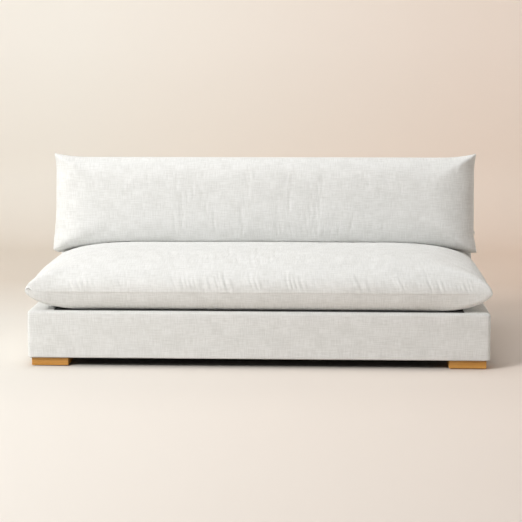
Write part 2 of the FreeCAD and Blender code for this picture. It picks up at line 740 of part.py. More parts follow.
def make_back_frame():
    """Posts, end panels, rails, rear board and the bolts that hold the posts to the base."""
    places_of = {"left": "-frame_inside", "centre": "-rail_thickness / 2",
                 "right": "frame_inside - rail_thickness"}
    for side, x in places_of.items():
        name = "back_%s_post" % side
        blank = prism(name + "_blank", post_outline(), x, "rail_thickness")
        holes = [bolt_hole(name + "_hole_" + label, at, z, "bolt_radius + hole_clearance", "post_front",
                           "rail_inner_rear - post_front")
                 for label, owner, at, z in bolt_spots() if owner == side]
        keep(name, cut(name, blank, holes))
    panel = [(plane_at("back_floor"), "back_floor"), ("frame_rear", "back_floor"),
             ("frame_rear", "top_rail_bottom"), (plane_at("top_rail_bottom"), "top_rail_bottom")]
    keep("back_left_end_panel", prism("back_left_end_panel", panel, "-frame_half", "rail_thickness"))
    keep("back_right_end_panel", prism("back_right_end_panel", panel, "frame_inside", "rail_thickness"))
    low = [(plane_at("back_floor"), "back_floor"), ("post_front", "back_floor"),
           ("post_front", "bottom_rail_top"), (plane_at("bottom_rail_top"), "bottom_rail_top")]
    keep("back_bottom_rail", prism("back_bottom_rail", low, "-frame_inside", "2 * frame_inside"))
    high = [(plane_at("top_rail_bottom"), "top_rail_bottom"), ("frame_rear", "top_rail_bottom"),
            ("frame_rear", "top_rail_top"), (plane_at("top_rail_top"), "top_rail_top")]
    keep("back_top_rail", prism("back_top_rail", high, "-frame_half", "2 * frame_half"))
    keep("back_rear_board", box("back_rear_board", "-frame_half", "frame_rear", "back_floor",
                                "2 * frame_half", "rear_board_thickness", "top_rail_top - back_floor"))
    bolts = []
    nuts = []
    for label, side, x, z in bolt_spots():
        shank = rod("bolt_%s_shank" % label, "y", x, "post_front - nut_thickness - 2 * slot_clearance", z,
                    "bolt_radius", "frame_rear - post_front + nut_thickness + 2 * slot_clearance")
        head = rod("bolt_%s_head" % label, "y", x, "frame_rear - bolt_head_height", z,
                   "bolt_head_radius", "bolt_head_height")
        bolts.append(fuse("bolt_" + label, [shank, head]))
        nut = doc.addObject("Part::Prism", "nut_%s_hex" % label)
        nut.Placement = FreeCAD.Placement(Vector(), FreeCAD.Rotation(Vector(1, 0, 0), -90))
        nut.Polygon = 6
        bind(nut, x=x, y="post_front - nut_thickness", z=z, Circumradius="nut_radius",
             Height="nut_thickness")
        bore = bolt_hole("nut_%s_bore" % label, x, z, "bolt_radius + touch_gap",
                         "post_front - nut_thickness", "nut_thickness")
        nuts.append(cut("nut_" + label, nut, [bore]))
    keep("back_bolts", group("back_bolts", bolts))
    keep("back_nuts", group("back_nuts", nuts))


# Back upholstery

def back_block(name, half, skin, floor, radius):
    """Leaning block with every edge rounded but those on its floor."""
    front = "back_front + (%s - deck_top) * lean_slope + %s"
    lean_in = "lean_skin" if skin != "0" else "0"
    top = "back_top - %s" % skin
    points = [(front % (floor, lean_in), floor), ("base_rear - %s" % skin, floor),
              ("base_rear - %s" % skin, top), (front % (top, lean_in), top)]
    body = prism(name, points, "-" + half, "2 * %s" % half)
    level = value(floor)
    round_edges(body, name + "_edges", radius, lambda edge: edge.BoundBox.ZMax > level + 0.001)
    return body


def front_slab(name, shift, length_half):
    """Everything in front of the back frame's plane, moved by a shift."""
    top = "back_top + border_padding"
    points = [("back_front - back_depth", "deck_top"), (plane_at("deck_top", shift), "deck_top"),
              (plane_at(top, shift), top), ("back_front - back_depth", top)]
    return prism(name, points, "-" + length_half, "2 * " + length_half)


def make_back_upholstery():
    """Webbing on the frame's front, foam over it, wadding round the rest and the cover."""
    inner_radius = "back_edge_radius - fabric_thickness"
    outer = back_block("back_cover_outer", "base_half", "0", "deck_top", "back_edge_radius")
    inner = back_block("back_cover_inner", "cover_half", "fabric_thickness", "back_floor", inner_radius)
    slots = post_slots("back_cover", "deck_top - fabric_thickness", "3 * fabric_thickness")
    keep("back_cover", cut("back_cover", outer, [inner] + slots))
    block = back_block("back_foam_block", "cover_half", "fabric_thickness", "back_floor", inner_radius)
    front = front_slab("back_foam_slab", "-webbing_thickness", "base_half")
    keep("back_foam", common("back_foam", block, front))
    block = back_block("back_wadding_block", "cover_half", "fabric_thickness", "back_floor", inner_radius)
    front = front_slab("back_wadding_slab", "-webbing_thickness", "base_half")
    inside = [(plane_at("back_floor", "-webbing_thickness"), "back_floor"),
              ("frame_rear + rear_board_thickness", "back_floor"),
              ("frame_rear + rear_board_thickness", "top_rail_top"),
              (plane_at("top_rail_top", "-webbing_thickness"), "top_rail_top")]
    hollow = prism("back_wadding_hollow", inside, "-frame_half", "2 * frame_half")
    keep("back_wadding", cut("back_wadding", block, [front, hollow]))
    low = "back_floor + webbing_end"
    high = "top_rail_top - webbing_end"
    strap = [(plane_at(low, "-webbing_thickness"), low), (plane_at(low), low),
             (plane_at(high), high), (plane_at(high, "-webbing_thickness"), high)]
    count = int(value("webbing_count"))
    straps = [prism("strap_%d" % number, strap,
                    "%s * webbing_spacing - webbing_width / 2" % (number - (count - 1) / 2),
                    "webbing_width") for number in range(count)]
    keep("back_webbing", group("back_webbing", straps))


# Cushions

# Shares of a crown's height that each carry a section of the loft
SECTION_SHARES = (0, 0.2, 0.4, 0.58, 0.74, 0.86, 0.94, 0.985, 1)


def pillow_outline(half_x, half_y, bow_x, bow_y, tip, level):
    """Outline with straight drawn-in sides that flare out to small pointed corners."""
    flare_x = tip + value("long_flare") * (half_x - tip)
    flare_y = tip + value("short_flare") * (half_y - tip)
    near = value("tip_nose") * tip

    def flare(run, bow):
        """Middle of the arc that leaves a side and meets the tip, along and out."""
        reach = run - tip
        radius = (reach * reach + bow * bow) / (2 * bow)
        turn = math.asin(reach / radius) / 2
        return radius * math.sin(turn), radius * (1 - math.cos(turn))

    along_y, out_x = flare(flare_y, bow_x)
    along_x, out_y = flare(flare_x, bow_y)
    quarter = [(half_x - bow_x, half_y - flare_y),
               (half_x - bow_x + out_x, half_y - flare_y + along_y),
               (half_x, half_y - tip),
               (half_x - near, half_y - near),
               (half_x - tip, half_y),
               (half_x - flare_x + along_x, half_y - bow_y + out_y),
               (half_x - flare_x, half_y - bow_y)]
    corners = []
    for sign_x, sign_y in ((1, 1), (-1, 1), (-1, -1), (1, -1)):
        points = [Vector(sign_x * x, sign_y * y, level) for x, y in quarter]
        corners.append(points if sign_x == sign_y else points[::-1])
    edges = []
    for number, points in enumerate(corners):
        for start in (0, 2, 4):
            edges.append(Part.Arc(points[start], points[start + 1], points[start + 2]).toShape())
        edges.append(Part.makeLine(points[6], corners[(number + 1) % 4][0]))
    return Part.Wire(edges)


def crown_run(height, power):
    """How far in the crown reaches a share of its height, as a share of its run."""
    return 1 - (1 - height ** power) ** (1 / power)


def half_pillow(half, bow, height, run, powers, tip_growth, skin):
    """Loft from the seam up to a crown, or down to an underside where the height is negative."""
    wires = []
    for share in SECTION_SHARES:
        inward = [crown_run(share, power) for power in powers]
        half_x, half_y = [half[i] - run[i] * inward[i] - skin for i in (0, 1)]
        bow_x, bow_y = [bow[i] * (1 - value("bow_fade") * inward[i]) for i in (0, 1)]
        tip = min(value("tip_radius") * (1 + tip_growth * inward[0]), value("tip_limit") * half_y)
        wires.append(pillow_outline(half_x, half_y, bow_x, bow_y, tip,
                                    (height - math.copysign(1, height) * skin) * share))
    return Part.makeLoft(wires, True, False, False, 3)


def seat_pillow(skin):
    """The seat cushion's form, drawn in by a skin."""
    run = (value("seat_under_side_run"), value("seat_under_front_run"))
    powers = (value("seat_under_side_roundness"), value("seat_under_front_roundness"))
    under = half_pillow(*seat_outline(), -value("seat_seam - seat_floor"), run, powers,
                        value("seat_tip_growth"), skin)
    under.translate(Vector(0, value("seat_middle"), value("seat_seam")))
    return seat_top(skin).fuse(under)


def seat_outline():
    """Half sizes and bows of the seat cushion's seam."""
    return ((value("seat_width / 2"), value("seat_depth / 2")),
            (value("seat_side_bow"), value("seat_front_bow")))


def seat_top(skin):
    """The part of the seat cushion above its seam."""
    run = (value("seat_side_shoulder"), value("seat_front_shoulder"))
    powers = (value("seat_side_roundness"), value("seat_front_roundness"))
    shape = half_pillow(*seat_outline(), value("seat_crown"), run, powers, value("seat_tip_growth"), skin)
    shape.translate(Vector(0, value("seat_middle"), value("seat_seam")))
    return shape


def cushion_pillow(skin):
    """The back cushion's form: leaning, flat against the back and shaped by the seat cushion."""
    half = (value("cushion_width / 2"), value("cushion_height / 2"))
    bow = (value("cushion_side_bow"), value("cushion_top_bow"))
    run = (value("cushion_side_shoulder"), value("cushion_top_shoulder"))
    growth = value("cushion_tip_growth")
    faces = []
    for height, power in (("cushion_front_crown", "cushion_front_roundness"),
                          ("-cushion_rear_crown", "cushion_rear_roundness")):
        faces.append(half_pillow(half, bow, value(height), run, [value(power)] * 2, growth, skin))
    shape = faces[0].fuse(faces[1])
    shape.transformShape(cushion_place(0, half[1]).toMatrix())
    plane = value("cushion_rear") - skin / math.cos(math.radians(value("back_lean")))
    return shape.cut([behind_back(plane), seat_top(-value("layer_gap") - skin)])


def cushion_place(x, along):
    """Placement of a point on the back cushion's seam plane: local Y runs up the lean."""
    lean = math.radians(value("back_lean"))
    y = value("cushion_foot") + along * math.sin(lean)
    z = value("cushion_bottom") + along * math.cos(lean)
    turn = FreeCAD.Rotation(Vector(1, 0, 0), 90 - value("back_lean"))
    return FreeCAD.Placement(Vector(x, y, z), turn)


def behind_back(front):
    """Everything behind the leaning plane that the back cushion rests on."""
    half = value("cushion_width")
    slope = value("lean_slope")
    low = value("rail_bottom") - value("deck_top")
    high = value("base_width") - value("deck_top")
    deck = value("deck_top")
    far = value("base_rear + base_depth")
    corners = [Vector(-half, front + low * slope, deck + low), Vector(-half, far, deck + low),
               Vector(-half, far, deck + high), Vector(-half, front + high * slope, deck + high)]
    face = Part.Face(Part.makePolygon(corners + corners[:1]))
    return face.extrude(Vector(2 * half, 0, 0))


def feature(name, shape):
    """Sub-part whose shape is made from the sheet's sizes."""
    item = doc.addObject("Part::Feature", name)
    item.Shape = shape
    return item


def layers():
    """Skin of each layer's outside and inside."""
    cover = value("cushion_fabric")
    casing = cover + value("layer_gap")
    fill = casing + value("casing_thickness") + value("layer_gap")
    return cover, casing, casing + value("casing_thickness"), fill


def make_seat_cushion():
    """Cover, casing, fibre fill and foam core of the seat cushion."""
    cover, casing, casing_inside, fill = layers()
    outer = feature("seat_cover_outer", seat_pillow(0))
    inner = feature("seat_cover_inner", seat_pillow(cover))
    slot = zip_box("seat_cover_slot", seat_zip_place(), "0", "seat_zip_length", "-zip_slot_depth",
                   "2 * zip_slot_depth", "zip_slot")
    keep("seat_cushion_cover", cut("seat_cushion_cover", outer, [inner, slot]))
    keep("seat_cushion_casing", cut("seat_cushion_casing",
                                    feature("seat_casing_outer", seat_pillow(casing)),
                                    [feature("seat_casing_inner", seat_pillow(casing_inside))]))
    core = core_body("seat_cushion_core")
    keep("seat_cushion_core", core)
    hollow = core_body("seat_fill_hollow")
    keep("seat_cushion_fill", cut("seat_cushion_fill", feature("seat_fill_outer", seat_pillow(fill)),
                                  [hollow]))


def core_body(name):
    """Foam core: a slab with every edge rounded."""
    half = "seat_width / 2 - core_side_inset"
    reach = "seat_depth / 2 - core_front_inset"
    points = rectangle("-(%s)" % half, half, "seat_middle - (%s)" % reach, "seat_middle + %s" % reach)
    body = slab(name, points, "deck_top + core_rise", "core_thickness")
    round_edges(body, name + "_edges", "core_edge", lambda edge: True)
    return body


def make_back_cushion():
    """Cover, casing and fill of the back cushion."""
    cover, casing, casing_inside, fill = layers()
    outer = feature("cushion_cover_outer", cushion_pillow(0))
    inner = feature("cushion_cover_inner", cushion_pillow(cover))
    slot = zip_box("cushion_cover_slot", cushion_zip_place(), "0", "cushion_zip_length",
                   "-zip_slot_depth", "2 * zip_slot_depth", "zip_slot")
    keep("back_cushion_cover", cut("back_cushion_cover", outer, [inner, slot]))
    keep("back_cushion_casing", cut("back_cushion_casing",
                                    feature("cushion_casing_outer", cushion_pillow(casing)),
                                    [feature("cushion_casing_inner", cushion_pillow(casing_inside))]))
    keep("back_cushion_fill", feature("back_cushion_fill", cushion_pillow(fill)))


# Zips: each is built along its own X, with Y out of the seam and Z across it

def seat_zip_place():
    """Zip along the seat cushion's rear seam, closed towards +X."""
    y = value("seat_middle + seat_depth / 2 - seat_front_bow")
    turn = FreeCAD.Rotation(Vector(1, 0, 0), Vector(0, 1, 0), Vector(0, 0, 1), "XYZ")
    return FreeCAD.Placement(Vector(-value("seat_zip_length") / 2, y, value("seat_seam")), turn)


def cushion_zip_place():
    """Zip up the back cushion's right side seam, closed towards its foot."""
    lean = math.radians(value("back_lean"))
    down = Vector(0, -math.sin(lean), -math.cos(lean))
    out = Vector(1, 0, 0)
    x = value("cushion_width / 2 - cushion_side_bow")
    start = cushion_place(x, value("cushion_height / 2 + cushion_zip_length / 2")).Base
    return FreeCAD.Placement(start, FreeCAD.Rotation(down, out, down.cross(out), "XYZ"))


def zip_box(name, where, x, length, y, thickness, width):
    """Box in a zip's own frame, centred across the seam."""
    inside = box(name + "_bare", x, y, "-(%s) / 2" % width, length, thickness, width)
    item = group(name, [inside])
    item.Placement = where
    return item


def make_zip(prefix, where, length, towards):
    """Tape, coil, end stops, slider with its ears and pin, and the pull that swings on the pin."""
    keep(prefix + "_tape", zip_box(prefix + "_tape", where, "0", length, "-zip_tape_sink",
                                   "zip_tape_thickness", "zip_tape_width"))
    coil_low = "zip_tape_thickness - zip_tape_sink"
    coil_top = "%s + zip_coil_thickness" % coil_low
    keep(prefix + "_coil", zip_box(prefix + "_coil", where, "stop_length", "%s - 2 * stop_length" % length,
                                   coil_low, "zip_coil_thickness", "zip_coil_width"))
    stops = []
    for end, x in (("open", "0"), ("closed", "%s - stop_length" % length)):
        stops.append(zip_box("%s_stop_%s" % (prefix, end), where, x, "stop_length", coil_low,
                             "zip_coil_thickness", "zip_coil_width + slider_wall"))
    keep(prefix + "_stops", group(prefix + "_stops", stops))
    start = "%s - stop_length - zip_gap - slider_length" % length
    plate_low = "%s + zip_gap" % coil_top
    plate_top = "%s + slider_wall" % plate_low
    slider = fuse(prefix + "_slider", slider_members(prefix, start, coil_low, plate_low, plate_top))
    slider.Placement = where
    keep(prefix + "_slider", slider)
    pull = make_pull(prefix, "%s + slider_length / 2" % start, "%s + pin_height" % plate_top, towards)
    pull.Placement = where
    keep(prefix + "_pull", pull)


def slider_members(prefix, start, coil_low, plate_low, plate_top):
    """Plate over the coil, lips down its sides, two ears and the pin between them."""
    mouth = "zip_coil_width + 2 * zip_gap"
    members = [box(prefix + "_plate", start, plate_low, "-(%s) / 2 - slider_wall" % mouth,
                   "slider_length", "slider_wall", "%s + 2 * slider_wall" % mouth)]
    for side, z in (("low", "-(%s) / 2 - slider_wall" % mouth), ("high", "(%s) / 2" % mouth)):
        members.append(box("%s_lip_%s" % (prefix, side), start, "%s + zip_gap" % coil_low, z,
                           "slider_length", "zip_coil_thickness + slider_wall", "slider_wall"))
    ear_x = "%s + slider_length / 2 - ear_length / 2" % start
    ear_in = "barrel_length / 2 + zip_gap"
    for side, z in (("low", "-(%s) - ear_thickness" % ear_in), ("high", ear_in)):
        members.append(box("%s_ear_%s" % (prefix, side), ear_x, plate_top, z, "ear_length",
                           "ear_height", "ear_thickness"))
    members.append(rod(prefix + "_pin", "z", "%s + slider_length / 2" % start,
                       "%s + pin_height" % plate_top, "-(%s)" % ear_in, "pin_radius", "2 * (%s)" % ear_in))
    return members


def make_pull(prefix, pin_x, pin_y, towards):
    """Barrel on the pin, a narrow neck and the tab, which lies towards one end of the zip."""
    def lengthwise(name, near, far, width):
        """Flat piece from one distance to another off the pin."""
        low = near if towards > 0 else "-(%s)" % far
        return box(prefix + name, "%s + %s" % (pin_x, low), "%s - pull_thickness / 2" % pin_y,
                   "-(%s) / 2" % width, "%s - %s" % (far, near), "pull_thickness", width)

    barrel = rod(prefix + "_barrel", "z", pin_x, pin_y, "-barrel_length / 2", "barrel_radius",
                 "barrel_length")
    solid = fuse(prefix + "_pull_solid", [barrel, lengthwise("_neck", "0", "pull_neck", "barrel_length"),
                                          lengthwise("_tab", "pull_neck", "pull_length", "pull_width")])
    bore = rod(prefix + "_bore", "z", pin_x, pin_y, "-barrel_length / 2",
               "pin_radius + pin_clearance", "barrel_length")
    return cut(prefix + "_pull", solid, [bore])


make_rails()
make_corners()
make_feet()
make_springs()
make_base_upholstery()
make_back_frame()
make_back_upholstery()
make_seat_cushion()
make_back_cushion()
make_zip("seat_zip", seat_zip_place(), "seat_zip_length", -1)
make_zip("back_zip", cushion_zip_place(), "cushion_zip_length", 1)

doc.recompute()

failed = [item.Name for item in doc.Objects if "Invalid" in item.State or "Error" in item.State]
if failed:
    raise RuntimeError("not recomputed: " + ", ".join(failed))
for name, item in parts.items():
    shape = item.Shape
    if shape.isNull() or not shape.isValid() or not shape.Solids:
        raise RuntimeError("bad shape: " + name)

os.makedirs("parts", exist_ok=True)
for name, item in parts.items():
    item.Shape.exportStep("parts/%s.step" % name)
    print("%-24s %3d solids %14.1f mm3" % (name, len(item.Shape.Solids), item.Shape.Volume))
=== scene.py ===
import json
import math

import bpy
import numpy as np
from mathutils import Matrix, Vector
from mathutils.bvhtree import BVHTree


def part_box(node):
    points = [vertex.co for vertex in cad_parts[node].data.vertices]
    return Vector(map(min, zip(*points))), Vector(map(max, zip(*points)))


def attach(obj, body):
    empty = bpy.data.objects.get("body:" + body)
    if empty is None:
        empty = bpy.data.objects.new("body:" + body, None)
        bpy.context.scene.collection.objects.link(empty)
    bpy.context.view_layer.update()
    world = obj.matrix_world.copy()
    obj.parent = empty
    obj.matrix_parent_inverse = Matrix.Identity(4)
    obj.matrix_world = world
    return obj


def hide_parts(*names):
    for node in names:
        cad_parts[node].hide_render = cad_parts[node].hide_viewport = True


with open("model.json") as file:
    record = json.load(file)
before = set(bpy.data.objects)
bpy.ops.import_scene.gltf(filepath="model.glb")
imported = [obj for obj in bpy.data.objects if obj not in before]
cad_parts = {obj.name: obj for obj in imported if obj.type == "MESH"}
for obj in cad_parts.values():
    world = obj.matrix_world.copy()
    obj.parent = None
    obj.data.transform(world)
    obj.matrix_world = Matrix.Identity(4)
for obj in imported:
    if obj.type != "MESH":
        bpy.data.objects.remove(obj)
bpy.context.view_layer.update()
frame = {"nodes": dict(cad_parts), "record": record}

# Armless sofa: materials for the rigid parts, and soft pieces in place of the upholstery,
# the seat cushion and the back cushion. Metres, in the frame's axes: the front faces -Y.

# Camera, as the photograph was taken
CAMERA_AT = (0.261, -6.115, 1.345)
CAMERA_LENS = 95.93
CAMERA_SENSOR = 36.0
CAMERA_REACH = 60.0
CAMERA_TILT = math.radians(8.933)
CAMERA_TURN = math.radians(2.483)
CAMERA_ROLL = math.radians(-0.088)

# Room: a floor that bends up into a wall, and the paint's colours along them, with painted shade to the
# right and where floor and wall meet
WALL_Y = 3.4
WALL_BEND = 0.6
BEND_STEPS = 12
REAR_FLOOR_Z = -0.002
STAGE_LEFT_PAINTED_LIGHT = (0.88, 0.85, 0.795)
STAGE_RIGHT_PAINTED_SHADE = (0.895, 0.795, 0.72)
STAGE_PAINTED_SHADE = ((0.10, (0.92, 0.92, 0.92)), (0.32, (0.83, 0.83, 0.825)), (0.46, (0.78, 0.73, 0.685)),
               (0.62, (0.835, 0.785, 0.74)), (0.72, (0.92, 0.905, 0.885)), (0.84, (0.97, 0.97, 0.97)))
STAGE_WIDTH = 4.0
STAGE_START = 2
STAGE_RUN = 8.0
STAGE_MOTTLE = 1.5
ROOM_HALF = 14.0
ROOM_HEIGHT = 6.0
ROOM_FRONT = -14.0
ROOM_REAR = 14.0
ROOM_COLOUR = (0.72, 0.66, 0.59)
ROOM_FADE = (4.6, 9.0)

# Lamps: place, aim, size, power and colour of each
LAMPS = {
    "key": ((-5.6, -4.8, 5.0), (0.0, 0.4, 0.3), 3.2, 576, (1.0, 0.99, 0.975)),
    "top": ((-0.8, -0.2, 4.8), (0.0, 0.5, 0.0), 4.0, 100, (1.0, 0.99, 0.975)),
    "fill": ((5.5, 1.0, 1.8), (0.9, 0.3, 0.5), 2.5, 52, (1.0, 0.95, 0.88)),
}
WORLD_COLOUR = (1.0, 0.98, 0.955)
WORLD_STRENGTH = 0.14

# Upholstery: edge radii above and at the floor side, swells of the padding, size of the faces
BASE_EDGES = (0.014, 0.004)
BACK_EDGES = (0.014, 0.003)
BASE_SWELL = 0.0012
BACK_SWELL = 0.0006
SWELL_SIZE = 0.45
UPHOLSTERY_PITCH = 0.02
EDGE_STEPS = 6
BASE_SEED = 61
BACK_SEED = 71

# Seat cushion: how far its sides draw in and where they flare, its seam's height, its crown
SEAT_BOW = (0.006, 0.007)
SEAT_FLARE = (0.15, 0.35)
SEAT_SEAM = 0.322
SEAT_TOP_RUN = (0.450, 0.350)
SEAT_TOP_POWERS = (2.5, 2.4)
SEAT_PUFF = 0.003
SEAT_PUFF_SIZE = 0.5
SEAT_GATHER = 0.0017
SEAT_UNDER_SHARE = 0.2
SEAT_SEEDS = (3, 11)

# Back cushion: its lean, its foot, its size along the lean, and how its ends sag
LEAN = math.radians(8)
CUSHION_FOOT = (0.199, 0.395)
CUSHION_SIZE = (1.932, 0.450)
CUSHION_BOW = (0.009, 0.017)
CUSHION_FLARE = (0.15, 0.35)
CUSHION_SAG = (0.011, 0.006)
CUSHION_DROOP = 0.008
SAG_RUN = 0.7
ZIP_SAG_RUN = 0.2
END_POWER = 12
CUSHION_CORNER = 0.022
CUSHION_PUFF = 0.004
CUSHION_PUFF_SIZE = 0.6
CUSHION_GATHER = 0.0007
CUSHION_SEEDS = (31, 41)
REST_GAP = 0.0012
SKIN = 0.0008

# Cloth simulation, and the grids of panels that it and the finished cushions use
CLOTH_FRAMES = 20
CLOTH_GRIDS = ((240, 44), (240, 36))
CLOTH_GROWTH = 0.04
WRINKLE_SEED = 0.0012
WRINKLE_REACH = 0.04
WRINKLE_CAP = 0.0008
SEAM_CALM = 0.07
FINE_GRID = (560, 64)
EVEN = (1.1, 1.3)
CROWDED = (1.2, 2.2)
LEVEL_PASSES = 4
BROAD_PASSES = 12

# Gathers: how far they reach, how they fade, their widths, and how they lean and swell
GATHER_REACH = 0.026
GATHER_FADE = 1.4
GATHER_WIDTHS = (0.016, 0.038)
GATHER_SLANT = 0.1
SLANT_LENGTHS = (0.1, 0.5)
SWELL_LENGTHS = (0.08, 0.6)
SWELL_SHARES = (0.55, 0.45)
FAR_SIDE_SHIFT = 3.7

# Zips: half lengths, and the groove of the seam round them
SEAT_ZIP_HALF = 0.800
CUSHION_ZIP_HALF = 0.140
ZIP_GROOVE = 0.0034
ZIP_GROOVE_HALF = 0.0055
ZIP_GROOVE_EDGE = 0.002
ZIP_GROOVE_END = 0.003
ZIP_SIDE = 0.06

# Painted shade on the deck under the seat cushion, in from the sides and from the front
DECK_INSET = (0.108, 0.018)
DECK_DEPTH = 0.002
DECK_PAINTED_SHADE_STRENGTH = 0.95

# Linen: light and dark, thickness and lengths of its slub threads, pitch of its weave
LINEN = ((0.86, 0.867, 0.857), (0.72, 0.725, 0.707))
SLUB_THICKNESS = 0.0040
SLUB_LENGTHS = (0.045, 0.050)
LINEN_PATCHES = (0.09, 0.07)
WEAVE_PITCH = 0.0013
LINEN_RELIEF = 0.0011


# Materials

def new_material(name, roughness, metallic=0.0):
    """Material with a plain principled shader: material, tree and shader."""
    material = bpy.data.materials.new(name)
    material.use_nodes = True
    shader = material.node_tree.nodes["Principled BSDF"]
    shader.inputs["Roughness"].default_value = roughness
    shader.inputs["Metallic"].default_value = metallic
    return material, material.node_tree, shader


def node(tree, kind, **inputs):
    """Node of a kind, with its input sockets set by name; a socket value joins, a number is set."""
    item = tree.nodes.new(kind)
    for name, given in inputs.items():
        join(tree, item.inputs[name.replace("_", " ")], given)
    return item


def join(tree, socket, given):
    """Links an output to the socket, or sets the socket's value."""
    if isinstance(given, bpy.types.NodeSocket):
        tree.links.new(given, socket)
    else:
        socket.default_value = given


def maths(tree, operation, first, second=0.0):
    """Result of a maths node."""
    item = tree.nodes.new("ShaderNodeMath")
    item.operation = operation
    join(tree, item.inputs[0], first)
    join(tree, item.inputs[1], second)
    return item.outputs[0]


def product(tree, first, second):
    """Product of two colours."""
    item = tree.nodes.new("ShaderNodeVectorMath")
    item.operation = "MULTIPLY"
    join(tree, item.inputs[0], first)
    join(tree, item.inputs[1], second)
    return item.outputs["Vector"]


def stretched(tree, coordinates, sizes):
    """Coordinates counted in the given sizes along each axis."""
    item = node(tree, "ShaderNodeMapping", Vector=coordinates)
    item.inputs["Scale"].default_value = [1 / size for size in sizes]
    return item.outputs["Vector"]


def noise(tree, coordinates, sizes, detail=2.0):
    """Noise whose grains have the given sizes."""
    item = node(tree, "ShaderNodeTexNoise", Vector=stretched(tree, coordinates, sizes), Scale=1.0,
                Detail=detail)
    return item.outputs["Fac"]


def ramp(tree, factor, stops):
    """Colours along a factor."""
    item = node(tree, "ShaderNodeValToRGB", Fac=factor)
    while len(item.color_ramp.elements) < len(stops):
        item.color_ramp.elements.new(0.5)
    for element, (place, colour) in zip(item.color_ramp.elements, stops):
        element.position = place
        element.color = (*colour, 1)
    return item.outputs["Color"]


def middle(first, second):
    """Colour halfway between two."""
    return [(a + b) / 2 for a, b in zip(first, second)]


def mixed_shader(tree, share, first, second):
    """Mix of two shaders: a share of the second."""
    item = node(tree, "ShaderNodeMixShader", Fac=share)
    tree.links.new(first, item.inputs[1])
    tree.links.new(second, item.inputs[2])
    return item.outputs["Shader"]


def bump(tree, shader, height, distance, strength):
    """Surface relief from a height."""
    item = node(tree, "ShaderNodeBump", Height=height, Distance=distance, Strength=strength)
    tree.links.new(item.outputs["Normal"], shader.inputs["Normal"])


def threads(tree, coordinates, pitch):
    """Plain weave of a thread pitch: warp over weft, by the square."""
    directions = []
    for axis in ("X", "Y"):
        wave = node(tree, "ShaderNodeTexWave", Vector=coordinates, Scale=math.pi / pitch / 10,
                    Distortion=0.0)
        wave.bands_direction = axis
        directions.append(wave.outputs["Fac"])
    return maths(tree, "ADD", *directions)


def slub_linen(name, light, dark, shade=None):
    """Woven cover fabric: uneven slub threads both ways, a fine weave and a soft nap.

    A painted shade, where given, makes the colour darker from place to place.
    """
    material, tree, shader = new_material(name, 0.88)
    cloth = tree.nodes.new("ShaderNodeUVMap").outputs["UV"]
    upright = noise(tree, cloth, (SLUB_THICKNESS, SLUB_LENGTHS[0], 1), 4.0)
    level = noise(tree, cloth, (SLUB_LENGTHS[1], SLUB_THICKNESS, 1), 4.0)
    patches = noise(tree, cloth, (*LINEN_PATCHES, 1), 2.0)
    slubs = maths(tree, "ADD", maths(tree, "MULTIPLY", upright, 0.5), maths(tree, "MULTIPLY", level, 0.5))
    tone = maths(tree, "ADD", slubs, maths(tree, "MULTIPLY", maths(tree, "SUBTRACT", patches, 0.5), 0.25))
    colour = ramp(tree, tone, [(0.36, dark), (0.50, middle(light, dark)), (0.62, light)])
    if shade:
        colour = product(tree, colour, shade(tree))
    tree.links.new(colour, shader.inputs["Base Color"])
    weave = threads(tree, cloth, WEAVE_PITCH)
    relief = maths(tree, "ADD", maths(tree, "MULTIPLY", weave, 0.25), slubs)
    bump(tree, shader, relief, LINEN_RELIEF, 0.55)
    shader.inputs["Sheen Weight"].default_value = 0.12
    shader.inputs["Sheen Roughness"].default_value = 0.6
    shader.inputs["Specular IOR Level"].default_value = 0.25
    return material


def plain_cloth(name, light, dark, grain, roughness=0.9):
    """Cloth, felt or foam: a grain of one size with a soft blotch over it."""
    material, tree, shader = new_material(name, roughness)
    place = tree.nodes.new("ShaderNodeTexCoord").outputs["Object"]
    fine = noise(tree, place, (grain, grain, grain), 4.0)
    broad = noise(tree, place, (30 * grain, 30 * grain, 30 * grain), 2.0)
    tone = maths(tree, "ADD", maths(tree, "MULTIPLY", fine, 0.7), maths(tree, "MULTIPLY", broad, 0.3))
    tree.links.new(ramp(tree, tone, [(0.35, dark), (0.65, light)]), shader.inputs["Base Color"])
    bump(tree, shader, fine, grain / 2, 0.5)
    shader.inputs["Specular IOR Level"].default_value = 0.2
    return material


def timber(name, light, dark, ring, roughness):
    """Wood with its grain along X: fine streaks, wider bands and pores."""
    material, tree, shader = new_material(name, roughness)
    place = tree.nodes.new("ShaderNodeTexCoord").outputs["Object"]
    bands = noise(tree, place, (0.45, ring * 5, ring * 5), 3.0)
    streaks = noise(tree, place, (0.16, ring, ring), 5.0)
    pores = noise(tree, place, (0.012, 0.0007, 0.0007), 2.0)
    tone = maths(tree, "ADD", maths(tree, "MULTIPLY", bands, 0.45), maths(tree, "MULTIPLY", streaks, 0.55))
    marks = maths(tree, "MULTIPLY", maths(tree, "GREATER_THAN", pores, 0.62), 0.05)
    stops = [(0.34, dark), (0.5, middle(light, dark)), (0.64, light)]
    tree.links.new(ramp(tree, maths(tree, "SUBTRACT", tone, marks), stops), shader.inputs["Base Color"])
    bump(tree, shader, maths(tree, "SUBTRACT", streaks, marks), 0.0006, 0.35)
    return material


def metal(name, colour, roughness):
    """Drawn or stamped metal with a fine brushed unevenness."""
    material, tree, shader = new_material(name, roughness, 1.0)
    place = tree.nodes.new("ShaderNodeTexCoord").outputs["Object"]
    brushed = noise(tree, place, (0.02, 0.0006, 0.0006), 3.0)
    darker = [0.75 * part for part in colour]
    tree.links.new(ramp(tree, brushed, [(0.3, darker), (0.7, colour)]), shader.inputs["Base Color"])
    tree.links.new(maths(tree, "ADD", maths(tree, "MULTIPLY", brushed, 0.2), roughness - 0.1),
                   shader.inputs["Roughness"])
    bump(tree, shader, brushed, 0.0002, 0.3)
    return material


